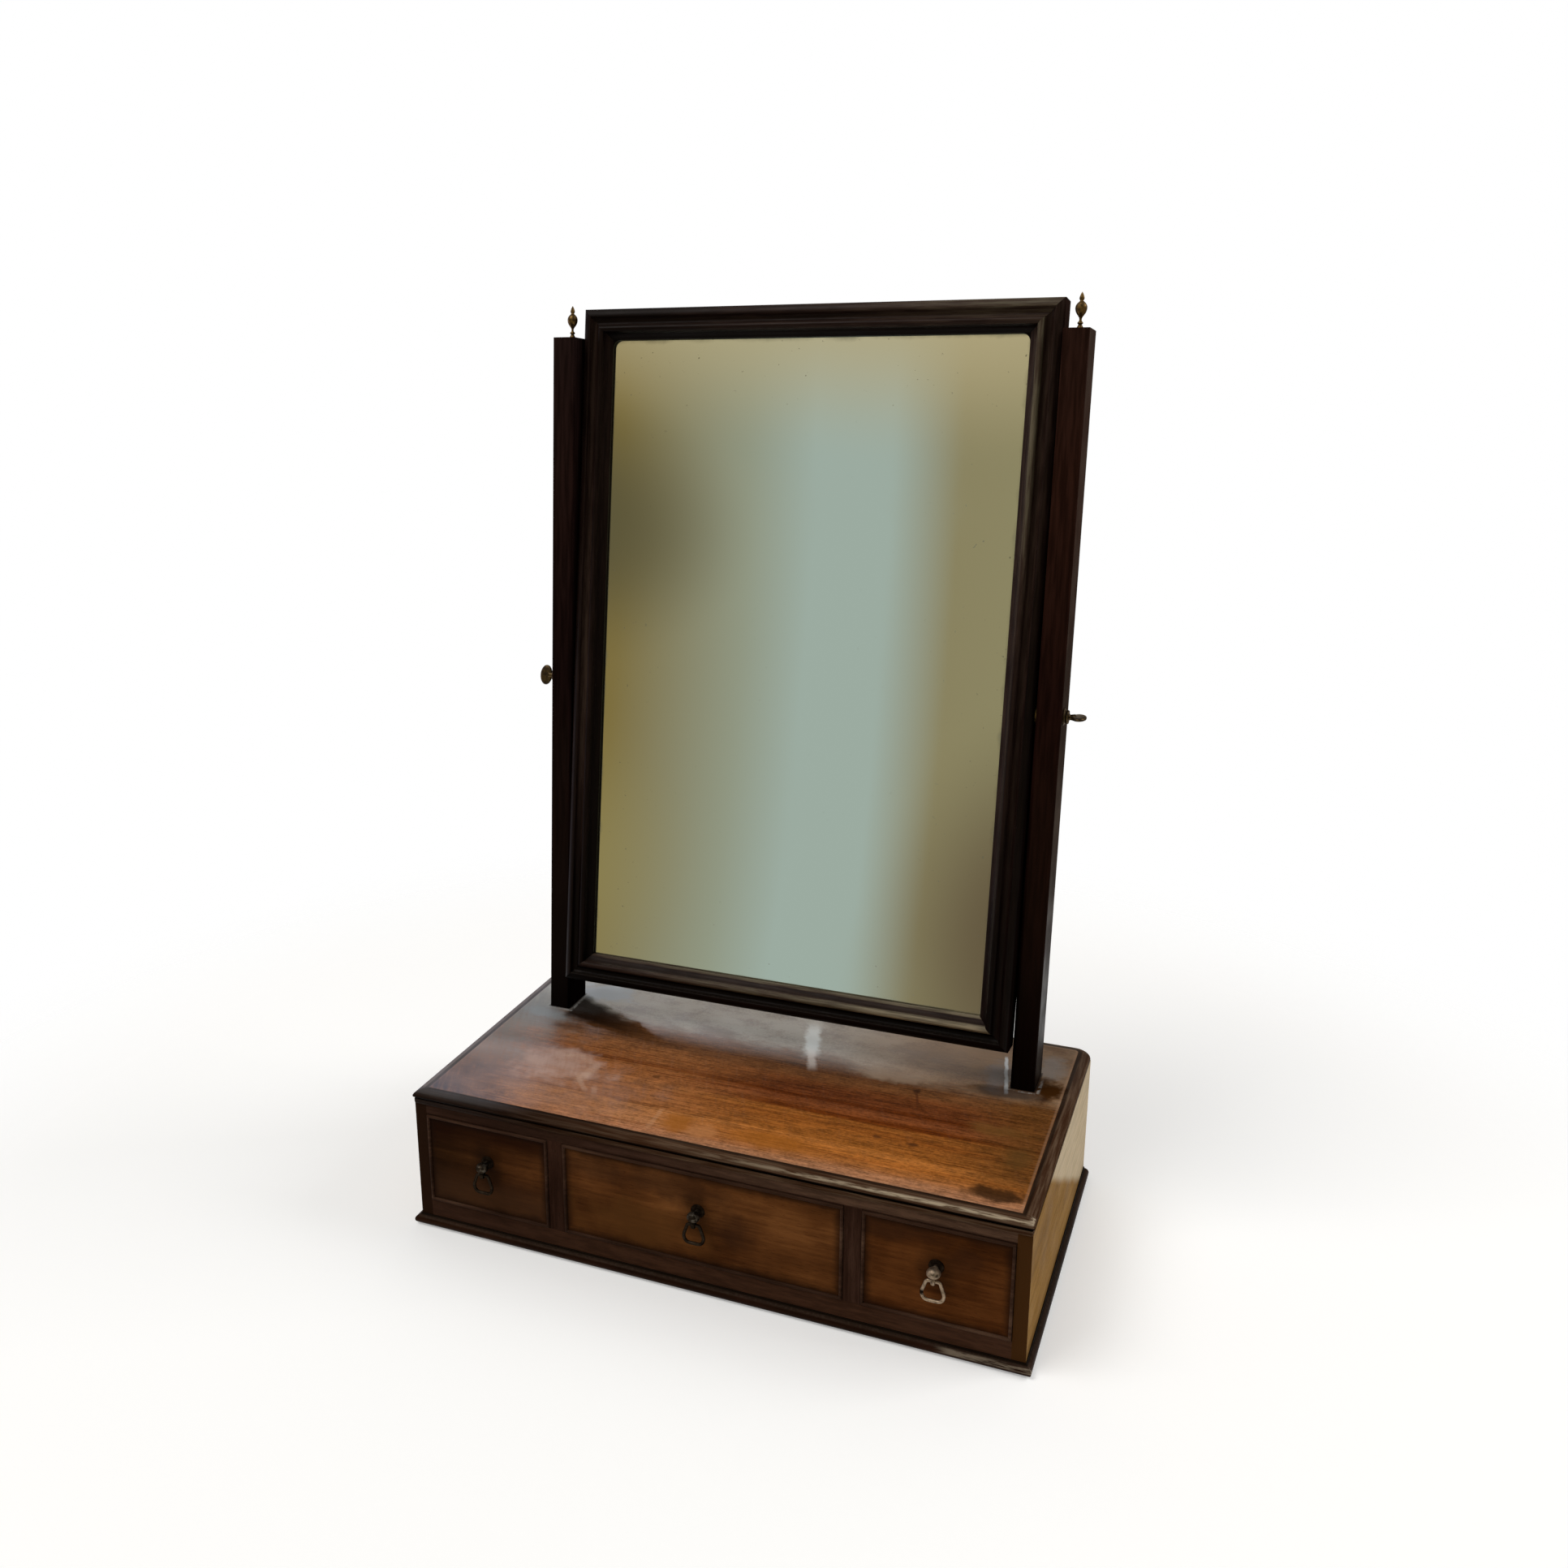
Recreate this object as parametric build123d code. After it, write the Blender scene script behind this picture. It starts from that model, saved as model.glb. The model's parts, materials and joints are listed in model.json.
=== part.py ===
from build123d import *
import os
from math import cos, pi, radians, sin, tan

# Dressing table mirror: a swing mirror on two raked posts, over a box with three drawers.
# Millimetres. X runs to the right, Y to the back and Z up. The origin is on the table, under
# the middle of the whole object.

# Case
case_width = 458.0
case_depth = 256.0
side_thickness = 9.5
back_thickness = 6.0
plinth_height = 9.0
bottom_thickness = 13.5
drawer_opening_height = 73.0
top_rail_height = 7.5
top_rail_depth = 35.0
bottom_rail_depth = 30.0
partition_thickness = 12.0
middle_opening_width = 211.0

# Top board
top_thickness = 11.0
top_overhang = 2.5
top_side_overhang = 1.0
top_back_corner_radius = 13.0
top_bead_height = 5.4
top_shoulder_width = 9.5
top_shoulder_height = 4.6
top_shoulder_steps = 4
top_quirk_height = 1.0
top_quirk_depth = 1.9
top_band_inset = 1.0
top_band_radius = 1.6

# Plinth moulding
plinth_projection = 4.5
plinth_strip_width = 20.0
plinth_bead_height = 6.9
plinth_bead_depth = 3.1
plinth_foot_rise = 0.8
plinth_step = 0.8
glue_block_width = 10.0
glue_block_length = 42.0
glue_block_rise = 1.0
glue_block_places = (0.3, 0.7)

# Drawers
drawer_side_gap = 0.4
drawer_bottom_gap = 0.3
drawer_top_gap = 0.5
front_thickness = 14.0
lining_thickness = 5.5
drawer_bottom_thickness = 3.0
drawer_groove_rise = 2.2
drawer_groove_depth = 2.5
drawer_back_drop = 4.0
dovetail_length = 7.5
dovetail_count = 3
dovetail_angle = 10.0
dovetail_margin = 7.0
dovetail_share = 0.5
cock_bead_width = 2.2
cock_bead_depth = 6.0
cock_bead_projection = 1.6
stop_width = 10.0
stop_height = 6.0
stop_depth = 7.0
stop_gap = 0.3
stop_back_gap = 6.7

# Drawer pulls
pull_height_in_opening = 43.0
rosette_radius = 5.2
rosette_thickness = 1.4
neck_radius = 2.2
head_radius = 4.7
head_half_height = 3.7
head_distance = 8.2
eye_drop = 6.0
eye_radius = 2.9
eye_thickness = 2.8
shank_radius = 2.0
shank_clearance = 0.1
nut_width = 8.0
nut_thickness = 2.6
bail_wire_radius = 1.2
bail_wire_sides = 8
bail_pin_clearance = 0.07
bail_pin_half_length = 4.4
bail_half_width = 8.0
bail_widest_drop = 10.4
bail_length = 14.8
bail_bottom_half_width = 5.4
bail_pin_bend = 1.4
bail_side_bend = 2.4

# Posts
post_width = 17.6
post_depth = 31.0
post_above_pivot = 264.0
post_rake = 5.0
post_back_setback = 57.9
post_edge_chamfer = 0.6
tenon_width = 10.0
tenon_depth = 16.0

# Finials, turned on the post's own axis: radius and height of foot, ring, neck, cup and flame
finial_rings = [(2.9, 0.0), (2.9, 0.9), (1.5, 3.2), (1.9, 4.4), (0.9, 6.6), (3.9, 13.6), (1.2, 18.6),
                (1.7, 20.4)]
finial_height = 24.5
finial_pin_radius = 1.5
finial_pin_length = 8.0
finial_pin_clearance = 0.05

# Mirror frame
frame_width = 362.0
frame_height_above_pivot = 285.5
frame_height_below_pivot = 248.5
frame_face = 22.75
frame_side_depth = 20.5
frame_depth = 24.0
frame_bead_depth = 25.0
frame_lip_depth = 17.0
frame_pivot_depth = 12.0
frame_outer_round = 6.0
frame_outer_radius = 6.9
frame_quirk = 0.6
frame_hollow_drop = 1.6
frame_hollow_depth = 2.0
frame_bead_start = 12.6
frame_bead_end = 17.4
frame_bead_step = 0.8
frame_slope_sag = 0.6
frame_corner_radius = 6.5
mirror_tilt = 8.0
glass_thickness = 3.0
glass_seat_depth = 14.0
glass_rebate = 7.0
glass_clearance = 0.5
backboard_thickness = 5.0
backboard_rebate = 11.0
backboard_clearance = 0.4
glass_block_length = 38.0
glass_block_width = 5.5
glass_block_places = (0.2, 0.5, 0.8)
frame_post_gap = 1.6
frame_board_gap = 30.5

# Pivots
pivot_inset = 10.5
pivot_screw_radius = 2.5
pivot_running_clearance = 0.06
bush_radius = 4.0
bush_clearance = 0.05
rose_radius = 6.2
rose_thickness = 1.6
plate_length = 34.0
plate_width = 14.0
plate_thickness = 2.0
plate_boss_radius = 6.5
pivot_face_gap = 0.3
screw_depth_in_stile = 11.0
screw_pilot_clearance = 0.3
thumb_collar_radius = 5.0
thumb_collar_thickness = 1.7
thumb_neck_radius = 2.0
thumb_neck_length = 2.4
thumb_plate_half_length = 5.2
thumb_plate_half_width = 8.0
thumb_plate_thickness = 3.0
thumb_plate_overlap = 0.8

# Heights and depths that the sizes above settle
opening_bottom = plinth_height + bottom_thickness
opening_top = opening_bottom + drawer_opening_height
case_top = opening_top + top_rail_height
board_top = case_top + top_thickness
pull_reach = head_distance + head_radius
front_y = (pull_reach - case_depth) / 2
back_y = front_y + case_depth
half_case = case_width / 2
inner_half_case = half_case - side_thickness
drawer_length = case_depth - back_thickness - stop_depth - stop_gap - stop_back_gap
half_middle = middle_opening_width / 2
side_opening_start = half_middle + partition_thickness

# The post's front foot, its own axis and the pivot's place on it
rake = radians(post_rake)
foot_y = back_y - post_back_setback - post_depth / cos(rake)
pivot_height_on_post = frame_height_below_pivot + frame_board_gap
post_length = pivot_height_on_post + post_above_pivot
pivot_y = foot_y + pivot_height_on_post * sin(rake) + pivot_inset * cos(rake)
pivot_z = board_top + pivot_height_on_post * cos(rake) - pivot_inset * sin(rake)
half_frame = frame_width / 2
post_inner_half_span = half_frame + frame_post_gap
post_outer_half_span = post_inner_half_span + post_width
boss_height = post_inner_half_span - half_frame - pivot_face_gap


def block(x, y, z):
    """Box between two values on each axis, each given as a pair"""
    size = [high - low for low, high in (x, y, z)]
    middle = [(high + low) / 2 for low, high in (x, y, z)]
    return Pos(*middle) * Box(*size)


def drum(radius, start, end, direction=Axis.X, through=(0, 0, 0)):
    """Cylinder along X or Y between two values on that axis"""
    centre = (start + end) / 2
    if direction == Axis.X:
        place = Pos(centre, through[1], through[2]) * Rot(0, 90, 0)
    else:
        place = Pos(through[0], centre, through[2]) * Rot(90, 0, 0)
    return place * Cylinder(radius, abs(end - start))


def polygon(points, plane):
    """Face with straight sides through the points, on the plane"""
    return plane * make_face(Polyline(*points, close=True))


def group(solids):
    """Separate solids that share one node"""
    return Compound(children=list(solids))


parts = {}


# Case: boards

def top_plan(inset):
    """Outline of the top board, drawn in by the inset, with its back corners rounded"""
    width = case_width + 2 * (top_side_overhang - inset)
    depth = case_depth + top_overhang - 2 * inset
    middle_y = (front_y - top_overhang + back_y) / 2
    plan = Pos(0, middle_y) * Rectangle(width, depth)
    return fillet(plan.vertices().group_by(Axis.Y)[-1], top_back_corner_radius - inset)


def mortise(side):
    """Hole in the top board for a post's tenon, side is -1 for left and 1 for right"""
    x = side * (post_outer_half_span - post_width / 2)
    y = foot_y + post_depth / cos(rake) / 2
    return block((x - tenon_width / 2, x + tenon_width / 2),
                 (y - tenon_depth / 2, y + tenon_depth / 2), (case_top, board_top))


def top_board():
    """Board with a broad rounded shoulder round its top, a quirk and a plain band under it"""
    bead_bottom = board_top - top_bead_height
    quirk_bottom = bead_bottom - top_quirk_height
    shoulder_bottom = board_top - top_shoulder_height
    bead = Pos(0, 0, bead_bottom) * extrude(top_plan(0), shoulder_bottom - bead_bottom)
    turns = [radians(90 * step / top_shoulder_steps) for step in range(top_shoulder_steps + 1)]
    plans = [Pos(0, 0, shoulder_bottom + top_shoulder_height * sin(turn))
             * top_plan(top_shoulder_width * (1 - cos(turn))) for turn in turns]
    for lower, upper in zip(plans, plans[1:]):
        bead += loft([lower, upper], ruled=True)
    quirk = Pos(0, 0, quirk_bottom) * extrude(top_plan(top_quirk_depth), top_quirk_height)
    band = Pos(0, 0, case_top) * extrude(top_plan(top_band_inset), quirk_bottom - case_top)
    band = fillet(band.faces().sort_by(Axis.Z)[0].edges(), top_band_radius)
    return bead + quirk + band - mortise(-1) - mortise(1)


def partition(side):
    """Upright board between two drawers, notched for the rail over them"""
    near, far = sorted((side * half_middle, side * side_opening_start))
    board = block((near, far), (front_y, back_y - back_thickness), (opening_bottom, case_top))
    notch = block((near, far), (front_y, front_y + top_rail_depth), (opening_top, case_top))
    return board - notch


def glue_block(x, y, along_x):
    """Pine block under the bottom board, in the corner with a plinth strip"""
    half = glue_block_length / 2 if along_x else glue_block_width / 2
    half_y = glue_block_width / 2 if along_x else glue_block_length / 2
    return block((x - half, x + half), (y - half_y, y + half_y), (glue_block_rise, plinth_height))


def glue_blocks():
    """Two blocks behind the front strip and two inside each side strip"""
    strip_inner = half_case + plinth_projection - plinth_strip_width
    front_x = case_width / 4
    front_block_y = front_y - plinth_projection + plinth_strip_width + glue_block_width / 2
    side_x = strip_inner - glue_block_width / 2
    places = [(side * front_x, front_block_y, True) for side in (-1, 1)]
    for side in (-1, 1):
        for share in glue_block_places:
            places.append((side * side_x, front_y + share * case_depth, False))
    return group(glue_block(*place) for place in places)


parts["top_board"] = top_board()
parts["bottom_board"] = block((-inner_half_case, inner_half_case),
                              (front_y + bottom_rail_depth, back_y - back_thickness),
                              (plinth_height, opening_bottom))
parts["front_bottom_rail"] = block((-inner_half_case, inner_half_case),
                                   (front_y, front_y + bottom_rail_depth),
                                   (plinth_height, opening_bottom))
parts["front_top_rail"] = block((-inner_half_case, inner_half_case),
                                (front_y, front_y + top_rail_depth), (opening_top, case_top))
parts["back_board"] = block((-inner_half_case, inner_half_case),
                            (back_y - back_thickness, back_y), (plinth_height, case_top))
for name, side in (("left", -1), ("right", 1)):
    near, far = sorted((side * inner_half_case, side * half_case))
    parts[name + "_side"] = block((near, far), (front_y, back_y), (plinth_height, case_top))
    parts[name + "_partition"] = partition(side)
parts["glue_blocks"] = glue_blocks()


# Case: plinth moulding, a bead with a small step over it, mitred at the front corners

def plinth_profile():
    """Section of a strip, outwards along the first axis and up along the second"""
    reach = plinth_projection
    bead_top = plinth_foot_rise + plinth_bead_height
    middle = plinth_foot_rise + plinth_bead_height / 2
    inner = reach - plinth_strip_width
    bead_foot = reach - plinth_bead_depth
    outline = Polyline((inner, plinth_height), (inner, 0), (bead_foot, 0), (bead_foot, plinth_foot_rise))
    outline += ThreePointArc((bead_foot, plinth_foot_rise), (reach, middle), (bead_foot, bead_top))
    outline += Polyline((bead_foot, bead_top), (plinth_step, bead_top + plinth_step / 2),
                        (plinth_step, plinth_height), (inner, plinth_height))
    return make_face(outline)


def plinth_front():
    """Front strip, its ends cut at 45 degrees"""
    reach = half_case + plinth_projection
    section = Plane(origin=(-reach, front_y, 0), x_dir=(0, -1, 0), z_dir=(-1, 0, 0)) * plinth_profile()
    strip = extrude(section, 2 * reach, dir=(1, 0, 0))
    outer_y = front_y - plinth_projection
    plan = polygon([(-reach, outer_y), (reach, outer_y),
                    (reach - plinth_strip_width, outer_y + plinth_strip_width),
                    (-reach + plinth_strip_width, outer_y + plinth_strip_width)], Plane.XY)
    return strip & extrude(plan, plinth_height, dir=(0, 0, 1))


def plinth_side(side):
    """Side strip, mitred in front and square at the back"""
    reach = half_case + plinth_projection
    outer_y = front_y - plinth_projection
    section = Plane(origin=(side * half_case, outer_y, 0), x_dir=(side, 0, 0),
                    z_dir=(0, -side, 0)) * plinth_profile()
    strip = extrude(section, back_y - outer_y, dir=(0, 1, 0))
    plan = polygon([(side * reach, outer_y), (side * reach, back_y),
                    (side * (reach - plinth_strip_width), back_y),
                    (side * (reach - plinth_strip_width), outer_y + plinth_strip_width)], Plane.XY)
    return strip & extrude(plan, plinth_height, dir=(0, 0, 1))


parts["plinth_front"] = plinth_front()
parts["plinth_left"] = plinth_side(-1)
parts["plinth_right"] = plinth_side(1)


# Posts, finials and bushes

def along_post(distance, inwards):
    """Place on a post's section, as y and z: up the front face, then in from it"""
    y = foot_y + distance * sin(rake) + inwards * cos(rake)
    z = board_top + distance * cos(rake) - inwards * sin(rake)
    return y, z


def post(side):
    """Square post, raked backwards, with its tenon, pivot hole and finial hole"""
    centre_x = side * (post_outer_half_span - post_width / 2)
    foot = [(foot_y, board_top), (foot_y + post_depth / cos(rake), board_top)]
    head = [along_post(post_length, post_depth), along_post(post_length, 0)]
    shaft = extrude(polygon(foot + head, Plane.YZ), post_width / 2, both=True)
    long_edges = [edge for edge in shaft.edges() if edge.length > post_length / 2]
    shaft = Pos(centre_x, 0, 0) * chamfer(long_edges, post_edge_chamfer)
    hole = drum(bush_radius + bush_clearance, centre_x - post_width, centre_x + post_width,
                through=(0, pivot_y, pivot_z))
    finial_hole = finial_place(side) * Pos(0, 0, -finial_pin_length / 2) * Cylinder(
        finial_pin_radius + finial_pin_clearance, finial_pin_length)
    return shaft + mortise(side) - hole - finial_hole


def finial_place(side):
    """Middle of the post's top, with the local Z along the post"""
    y, z = along_post(post_length, post_depth / 2)
    return Pos(side * (post_outer_half_span - post_width / 2), y, z) * Rot(-post_rake, 0, 0)


def finial(side):
    """Turned brass finial with the pin that holds it in the post"""
    half = polygon([(0, 0)] + finial_rings + [(0, finial_height)], Plane.XZ)
    turned = revolve(half, Axis.Z)
    pin = Pos(0, 0, -finial_pin_length / 2) * Cylinder(finial_pin_radius, finial_pin_length)
    return finial_place(side) * (turned + pin)


def pivot_bush(side):
    """Brass rose on the post's outer face, in one piece with the tube through the post"""
    inner = side * post_inner_half_span
    outer = side * post_outer_half_span
    face = outer + side * rose_thickness
    axis = (0, pivot_y, pivot_z)
    rose = drum(rose_radius, outer, face, through=axis)
    tube = drum(bush_radius, inner, outer, through=axis)
    return rose + tube - drum(pivot_screw_radius + pivot_running_clearance, inner, face, through=axis)


for name, side in (("left", -1), ("right", 1)):
    parts[name + "_post"] = post(side)
    parts[name + "_finial"] = finial(side)
    parts[name + "_pivot_bush"] = pivot_bush(side)


# Drawers

def tail(start, end, middle, base_width):
    """Dovetail seen from the side, widening from its start to its end along Y"""
    flare = abs(end - start) * tan(radians(dovetail_angle))
    half = base_width / 2
    return [(start, middle - half), (end, middle - half - flare),
            (end, middle + half + flare), (start, middle + half)]


def tails(start, end, height, x_low, x_high):
    """Row of dovetails between two heights, as one solid for each tail"""
    usable = height - 2 * dovetail_margin
    pitch = usable / dovetail_count
    base_width = pitch * dovetail_share
    row = []
    for number in range(dovetail_count):
        middle = dovetail_margin + (number + 0.5) * pitch
        outline = polygon(tail(start, end, middle, base_width), Plane.YZ)
        row.append(Pos(x_low, 0, 0) * extrude(outline, x_high - x_low, dir=(1, 0, 0)))
    return row


def drawer_front(width, height):
    """Front board, rebated round its face for the cock bead and socketed for the sides"""
    half = width / 2
    bead = cock_bead_width
    core = block((-half, half), (cock_bead_depth, front_thickness), (0, height))
    face = block((-half + bead, half - bead), (0, cock_bead_depth), (bead, height - bead))
    board = core + face
    tongue_half = half - lining_thickness + drawer_groove_depth
    groove = block((-tongue_half, tongue_half),
                   (front_thickness - drawer_groove_depth, front_thickness),
                   (drawer_groove_rise, drawer_groove_rise + drawer_bottom_thickness))
    board -= groove
    for x_low, x_high in ((-half, -half + lining_thickness), (half - lining_thickness, half)):
        for socket in tails(front_thickness, front_thickness - dovetail_length, height, x_low, x_high):
            board -= socket
    hole = drum(shank_radius + shank_clearance, 0, front_thickness, Axis.Y,
                through=(0, 0, pull_height_in_opening - drawer_bottom_gap))
    return board - hole


def cock_bead(width, height):
    """Four strips round the front, rounded in front and mitred at the corners"""
    bead = cock_bead_width
    nose = bead / 2
    tip = -cock_bead_projection
    outline = Polyline((0, cock_bead_depth), (0, tip + nose))
    outline += ThreePointArc((0, tip + nose), (nose, tip), (bead, tip + nose))
    outline += Polyline((bead, tip + nose), (bead, cock_bead_depth), (0, cock_bead_depth))
    profile = make_face(outline)
    strips = []
    for length, other, turn in ((width, height, 0), (height, width, 90),
                                (width, height, 180), (height, width, 270)):
        section = Plane(origin=(-length / 2, 0, -other / 2), x_dir=(0, 0, 1), z_dir=(-1, 0, 0)) * profile
        strip = extrude(section, length, dir=(1, 0, 0))
        low = -other / 2
        cut = polygon([(-length / 2, low), (length / 2, low), (length / 2 - bead, low + bead),
                       (-length / 2 + bead, low + bead)], Plane.XZ)
        reach = cock_bead_depth + cock_bead_projection
        prism = Pos(0, tip, 0) * extrude(cut, reach, dir=(0, 1, 0))
        strips.append(Pos(0, 0, height / 2) * Rot(0, turn, 0) * (strip & prism))
    return group(strips)


def drawer_side(width, height, side):
    """Side board with tails at both ends and a groove for the bottom"""
    half = width / 2
    x_low, x_high = sorted((side * (half - lining_thickness), side * half))
    back_start = drawer_length - lining_thickness
    board = block((x_low, x_high), (front_thickness, back_start), (0, height))
    for joint in tails(front_thickness, front_thickness - dovetail_length, height, x_low, x_high):
        board += joint
    for joint in tails(back_start, drawer_length, height, x_low, x_high):
        board += joint
    groove_x = sorted((side * (half - lining_thickness),
                       side * (half - lining_thickness + drawer_groove_depth)))
    groove = block(groove_x, (front_thickness, back_start),
                   (drawer_groove_rise, drawer_groove_rise + drawer_bottom_thickness))
    return board - groove


def drawer_back(width, height):
    """Back board, standing on the drawer's bottom, with sockets for the sides' tails"""
    half = width / 2
    start = drawer_length - lining_thickness
    foot = drawer_groove_rise + drawer_bottom_thickness
    board = block((-half, half), (start, drawer_length), (foot, height - drawer_back_drop))
    for x_low, x_high in ((-half, -half + lining_thickness), (half - lining_thickness, half)):
        for socket in tails(start, drawer_length, height, x_low, x_high):
            board -= socket
    return board


def drawer_bottom(width):
    """Thin board in the grooves of the front and the sides, under the back"""
    half = width / 2 - lining_thickness + drawer_groove_depth
    inner = width / 2 - lining_thickness
    z = (drawer_groove_rise, drawer_groove_rise + drawer_bottom_thickness)
    start = drawer_length - lining_thickness
    tongued = block((-half, half), (front_thickness - drawer_groove_depth, start), z)
    return tongued + block((-inner, inner), (start, drawer_length), z)


def pull_post():
    """Brass rosette, neck and head, with a shank through the front and a pierced eye under the head"""
    rosette = drum(rosette_radius, -rosette_thickness, 0, Axis.Y)
    neck = drum(neck_radius, -head_distance, 0, Axis.Y)
    shoulder = head_radius * cos(pi / 4)
    rise = head_half_height * sin(pi / 4)
    half = [(0, head_half_height), (shoulder, rise), (head_radius, 0), (shoulder, -rise),
            (0, -head_half_height)]
    head = Pos(0, -head_distance, 0) * revolve(polygon(half, Plane.XZ), Axis.Z)
    shank = drum(shank_radius, 0, front_thickness + nut_thickness, Axis.Y)
    half_eye = eye_radius / 2
    eye_foot = -eye_drop - eye_radius
    outline = [(-eye_radius, -eye_drop), (-half_eye, eye_foot), (half_eye, eye_foot),
               (eye_radius, -eye_drop), (half_eye, 0), (-half_eye, 0)]
    eye = Pos(0, -head_distance, 0) * extrude(polygon(outline, Plane.YZ), eye_thickness / 2, both=True)
    hole = drum(bail_wire_radius + bail_pin_clearance, -eye_thickness, eye_thickness,
                through=(0, -head_distance, -eye_drop))
    return rosette + neck + head + shank + eye - hole


def pull_nut():
    """Square nut on the shank, inside the drawer"""
    y = (front_thickness, front_thickness + nut_thickness)
    half = nut_width / 2
    nut = block((-half, half), y, (-half, half))
    return nut - drum(shank_radius, *y, Axis.Y)


def bail_line():
    """Middle of the bail's wire, as x and z from its pin, with each bend made of two small turns"""
    corners = [(-bail_pin_half_length, 0), (-bail_half_width, -bail_widest_drop),
               (-bail_bottom_half_width, -bail_length), (bail_bottom_half_width, -bail_length),
               (bail_half_width, -bail_widest_drop), (bail_pin_half_length, 0)]
    bends = [bail_pin_bend] + [bail_side_bend] * 4 + [bail_pin_bend]
    line = []
    for number, (corner, bend) in enumerate(zip(corners, bends)):
        for other in (corners[number - 1], corners[(number + 1) % len(corners)]):
            towards = Vector(*other) - Vector(*corner)
            line.append(Vector(*corner) + towards * (bend / towards.length))
    return line


def bail():
    """Pear-shaped loop of wire with flat sides, mitred at its small turns, its pin through the eye"""
    line = bail_line()
    rings = []
    for number, point in enumerate(line):
        before = (point - line[number - 1]).normalized()
        after = (line[(number + 1) % len(line)] - point).normalized()
        across = Vector(-before.Y - after.Y, before.X + after.X) / (1 + before.dot(after))
        ring = []
        for side in range(bail_wire_sides):
            turn = 2 * pi * (side + 0.5) / bail_wire_sides
            place = point + across * (bail_wire_radius * cos(turn))
            ring.append((place.X, bail_wire_radius * sin(turn), place.Y))
        rings.append(ring)
    faces = []
    for number, ring in enumerate(rings):
        other = rings[number - 1]
        for side in range(bail_wire_sides):
            corners = [ring[side - 1], ring[side], other[side], other[side - 1]]
            faces.append(make_face(Polyline(*corners, close=True)))
    return Pos(0, -head_distance, -eye_drop) * Solid(Shell(faces))


def drawer(name, middle_x, opening_width):
    """All the pieces of one drawer, set in its opening"""
    width = opening_width - 2 * drawer_side_gap
    height = drawer_opening_height - drawer_bottom_gap - drawer_top_gap
    place = Pos(middle_x, front_y, opening_bottom + drawer_bottom_gap)
    pull_place = Pos(middle_x, front_y, opening_bottom + pull_height_in_opening)
    parts[name + "_drawer_front"] = place * drawer_front(width, height)
    parts[name + "_cock_bead"] = place * cock_bead(width, height)
    parts[name + "_drawer_left_side"] = place * drawer_side(width, height, -1)
    parts[name + "_drawer_right_side"] = place * drawer_side(width, height, 1)
    parts[name + "_drawer_back"] = place * drawer_back(width, height)
    parts[name + "_drawer_bottom"] = place * drawer_bottom(width)
    parts[name + "_pull_post"] = pull_place * pull_post()
    parts[name + "_pull_nut"] = pull_place * pull_nut()
    parts[name + "_bail"] = pull_place * bail()


side_opening_width = inner_half_case - side_opening_start
side_opening_middle = (inner_half_case + side_opening_start) / 2
openings = [("left", -side_opening_middle, side_opening_width), ("middle", 0, middle_opening_width),
            ("right", side_opening_middle, side_opening_width)]
for opening in openings:
    drawer(*opening)


def drawer_stops():
    """Two small blocks behind each drawer, on the bottom board"""
    start = front_y + drawer_length + stop_gap
    stops = []
    for _, middle_x, opening_width in openings:
        for side in (-1, 1):
            x = middle_x + side * opening_width / 4
            stops.append(block((x - stop_width / 2, x + stop_width / 2), (start, start + stop_depth),
                               (opening_bottom, opening_bottom + stop_height)))
    return group(stops)


parts["drawer_stops"] = drawer_stops()


# Swing mirror, made upright round its pivot axis and then tilted

def frame_profile():
    """Section of a frame member: in from its outer edge, then forwards from its back"""
    bead_middle = (frame_bead_start + frame_bead_end) / 2
    bead_foot = frame_bead_depth - (frame_bead_end - frame_bead_start) / 2
    hollow_start = frame_outer_round + frame_quirk
    hollow_edge = frame_depth - frame_hollow_drop
    hollow_floor = hollow_edge - frame_hollow_depth
    seat = frame_face - glass_rebate
    back_step = frame_face - backboard_rebate
    outline = Polyline((0, 0), (0, frame_side_depth))
    outline += RadiusArc((0, frame_side_depth), (frame_outer_round, frame_depth), frame_outer_radius)
    outline += Polyline((frame_outer_round, frame_depth), (hollow_start, hollow_edge))
    outline += ThreePointArc((hollow_start, hollow_edge),
                             ((hollow_start + frame_bead_start) / 2, hollow_floor),
                             (frame_bead_start, bead_foot))
    outline += ThreePointArc((frame_bead_start, bead_foot), (bead_middle, frame_bead_depth),
                             (frame_bead_end, bead_foot))
    slope_start = bead_foot - frame_bead_step
    slope_middle = ((frame_bead_end + frame_face) / 2 - frame_slope_sag,
                    (slope_start + frame_lip_depth) / 2 - frame_slope_sag)
    outline += Polyline((frame_bead_end, bead_foot), (frame_bead_end, slope_start))
    outline += ThreePointArc((frame_bead_end, slope_start), slope_middle, (frame_face, frame_lip_depth))
    outline += Polyline((frame_face, frame_lip_depth), (frame_face, glass_seat_depth),
                        (seat, glass_seat_depth), (seat, backboard_thickness),
                        (back_step, backboard_thickness), (back_step, 0), (0, 0))
    return make_face(outline)


def frame_member(length):
    """Member that lies along X with its outer edge at the bottom, mitred at both ends"""
    section = Plane(origin=(-length / 2, frame_pivot_depth, 0), x_dir=(0, 0, 1),
                    z_dir=(1, 0, 0)) * frame_profile()
    bar = extrude(section, length, dir=(1, 0, 0))
    plan = polygon([(-length / 2, 0), (length / 2, 0), (length / 2 - frame_face, frame_face),
                    (-length / 2 + frame_face, frame_face)], Plane.XZ)
    prism = Pos(0, frame_pivot_depth, 0) * extrude(plan, frame_bead_depth, dir=(0, -1, 0))
    return bar & prism


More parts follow.
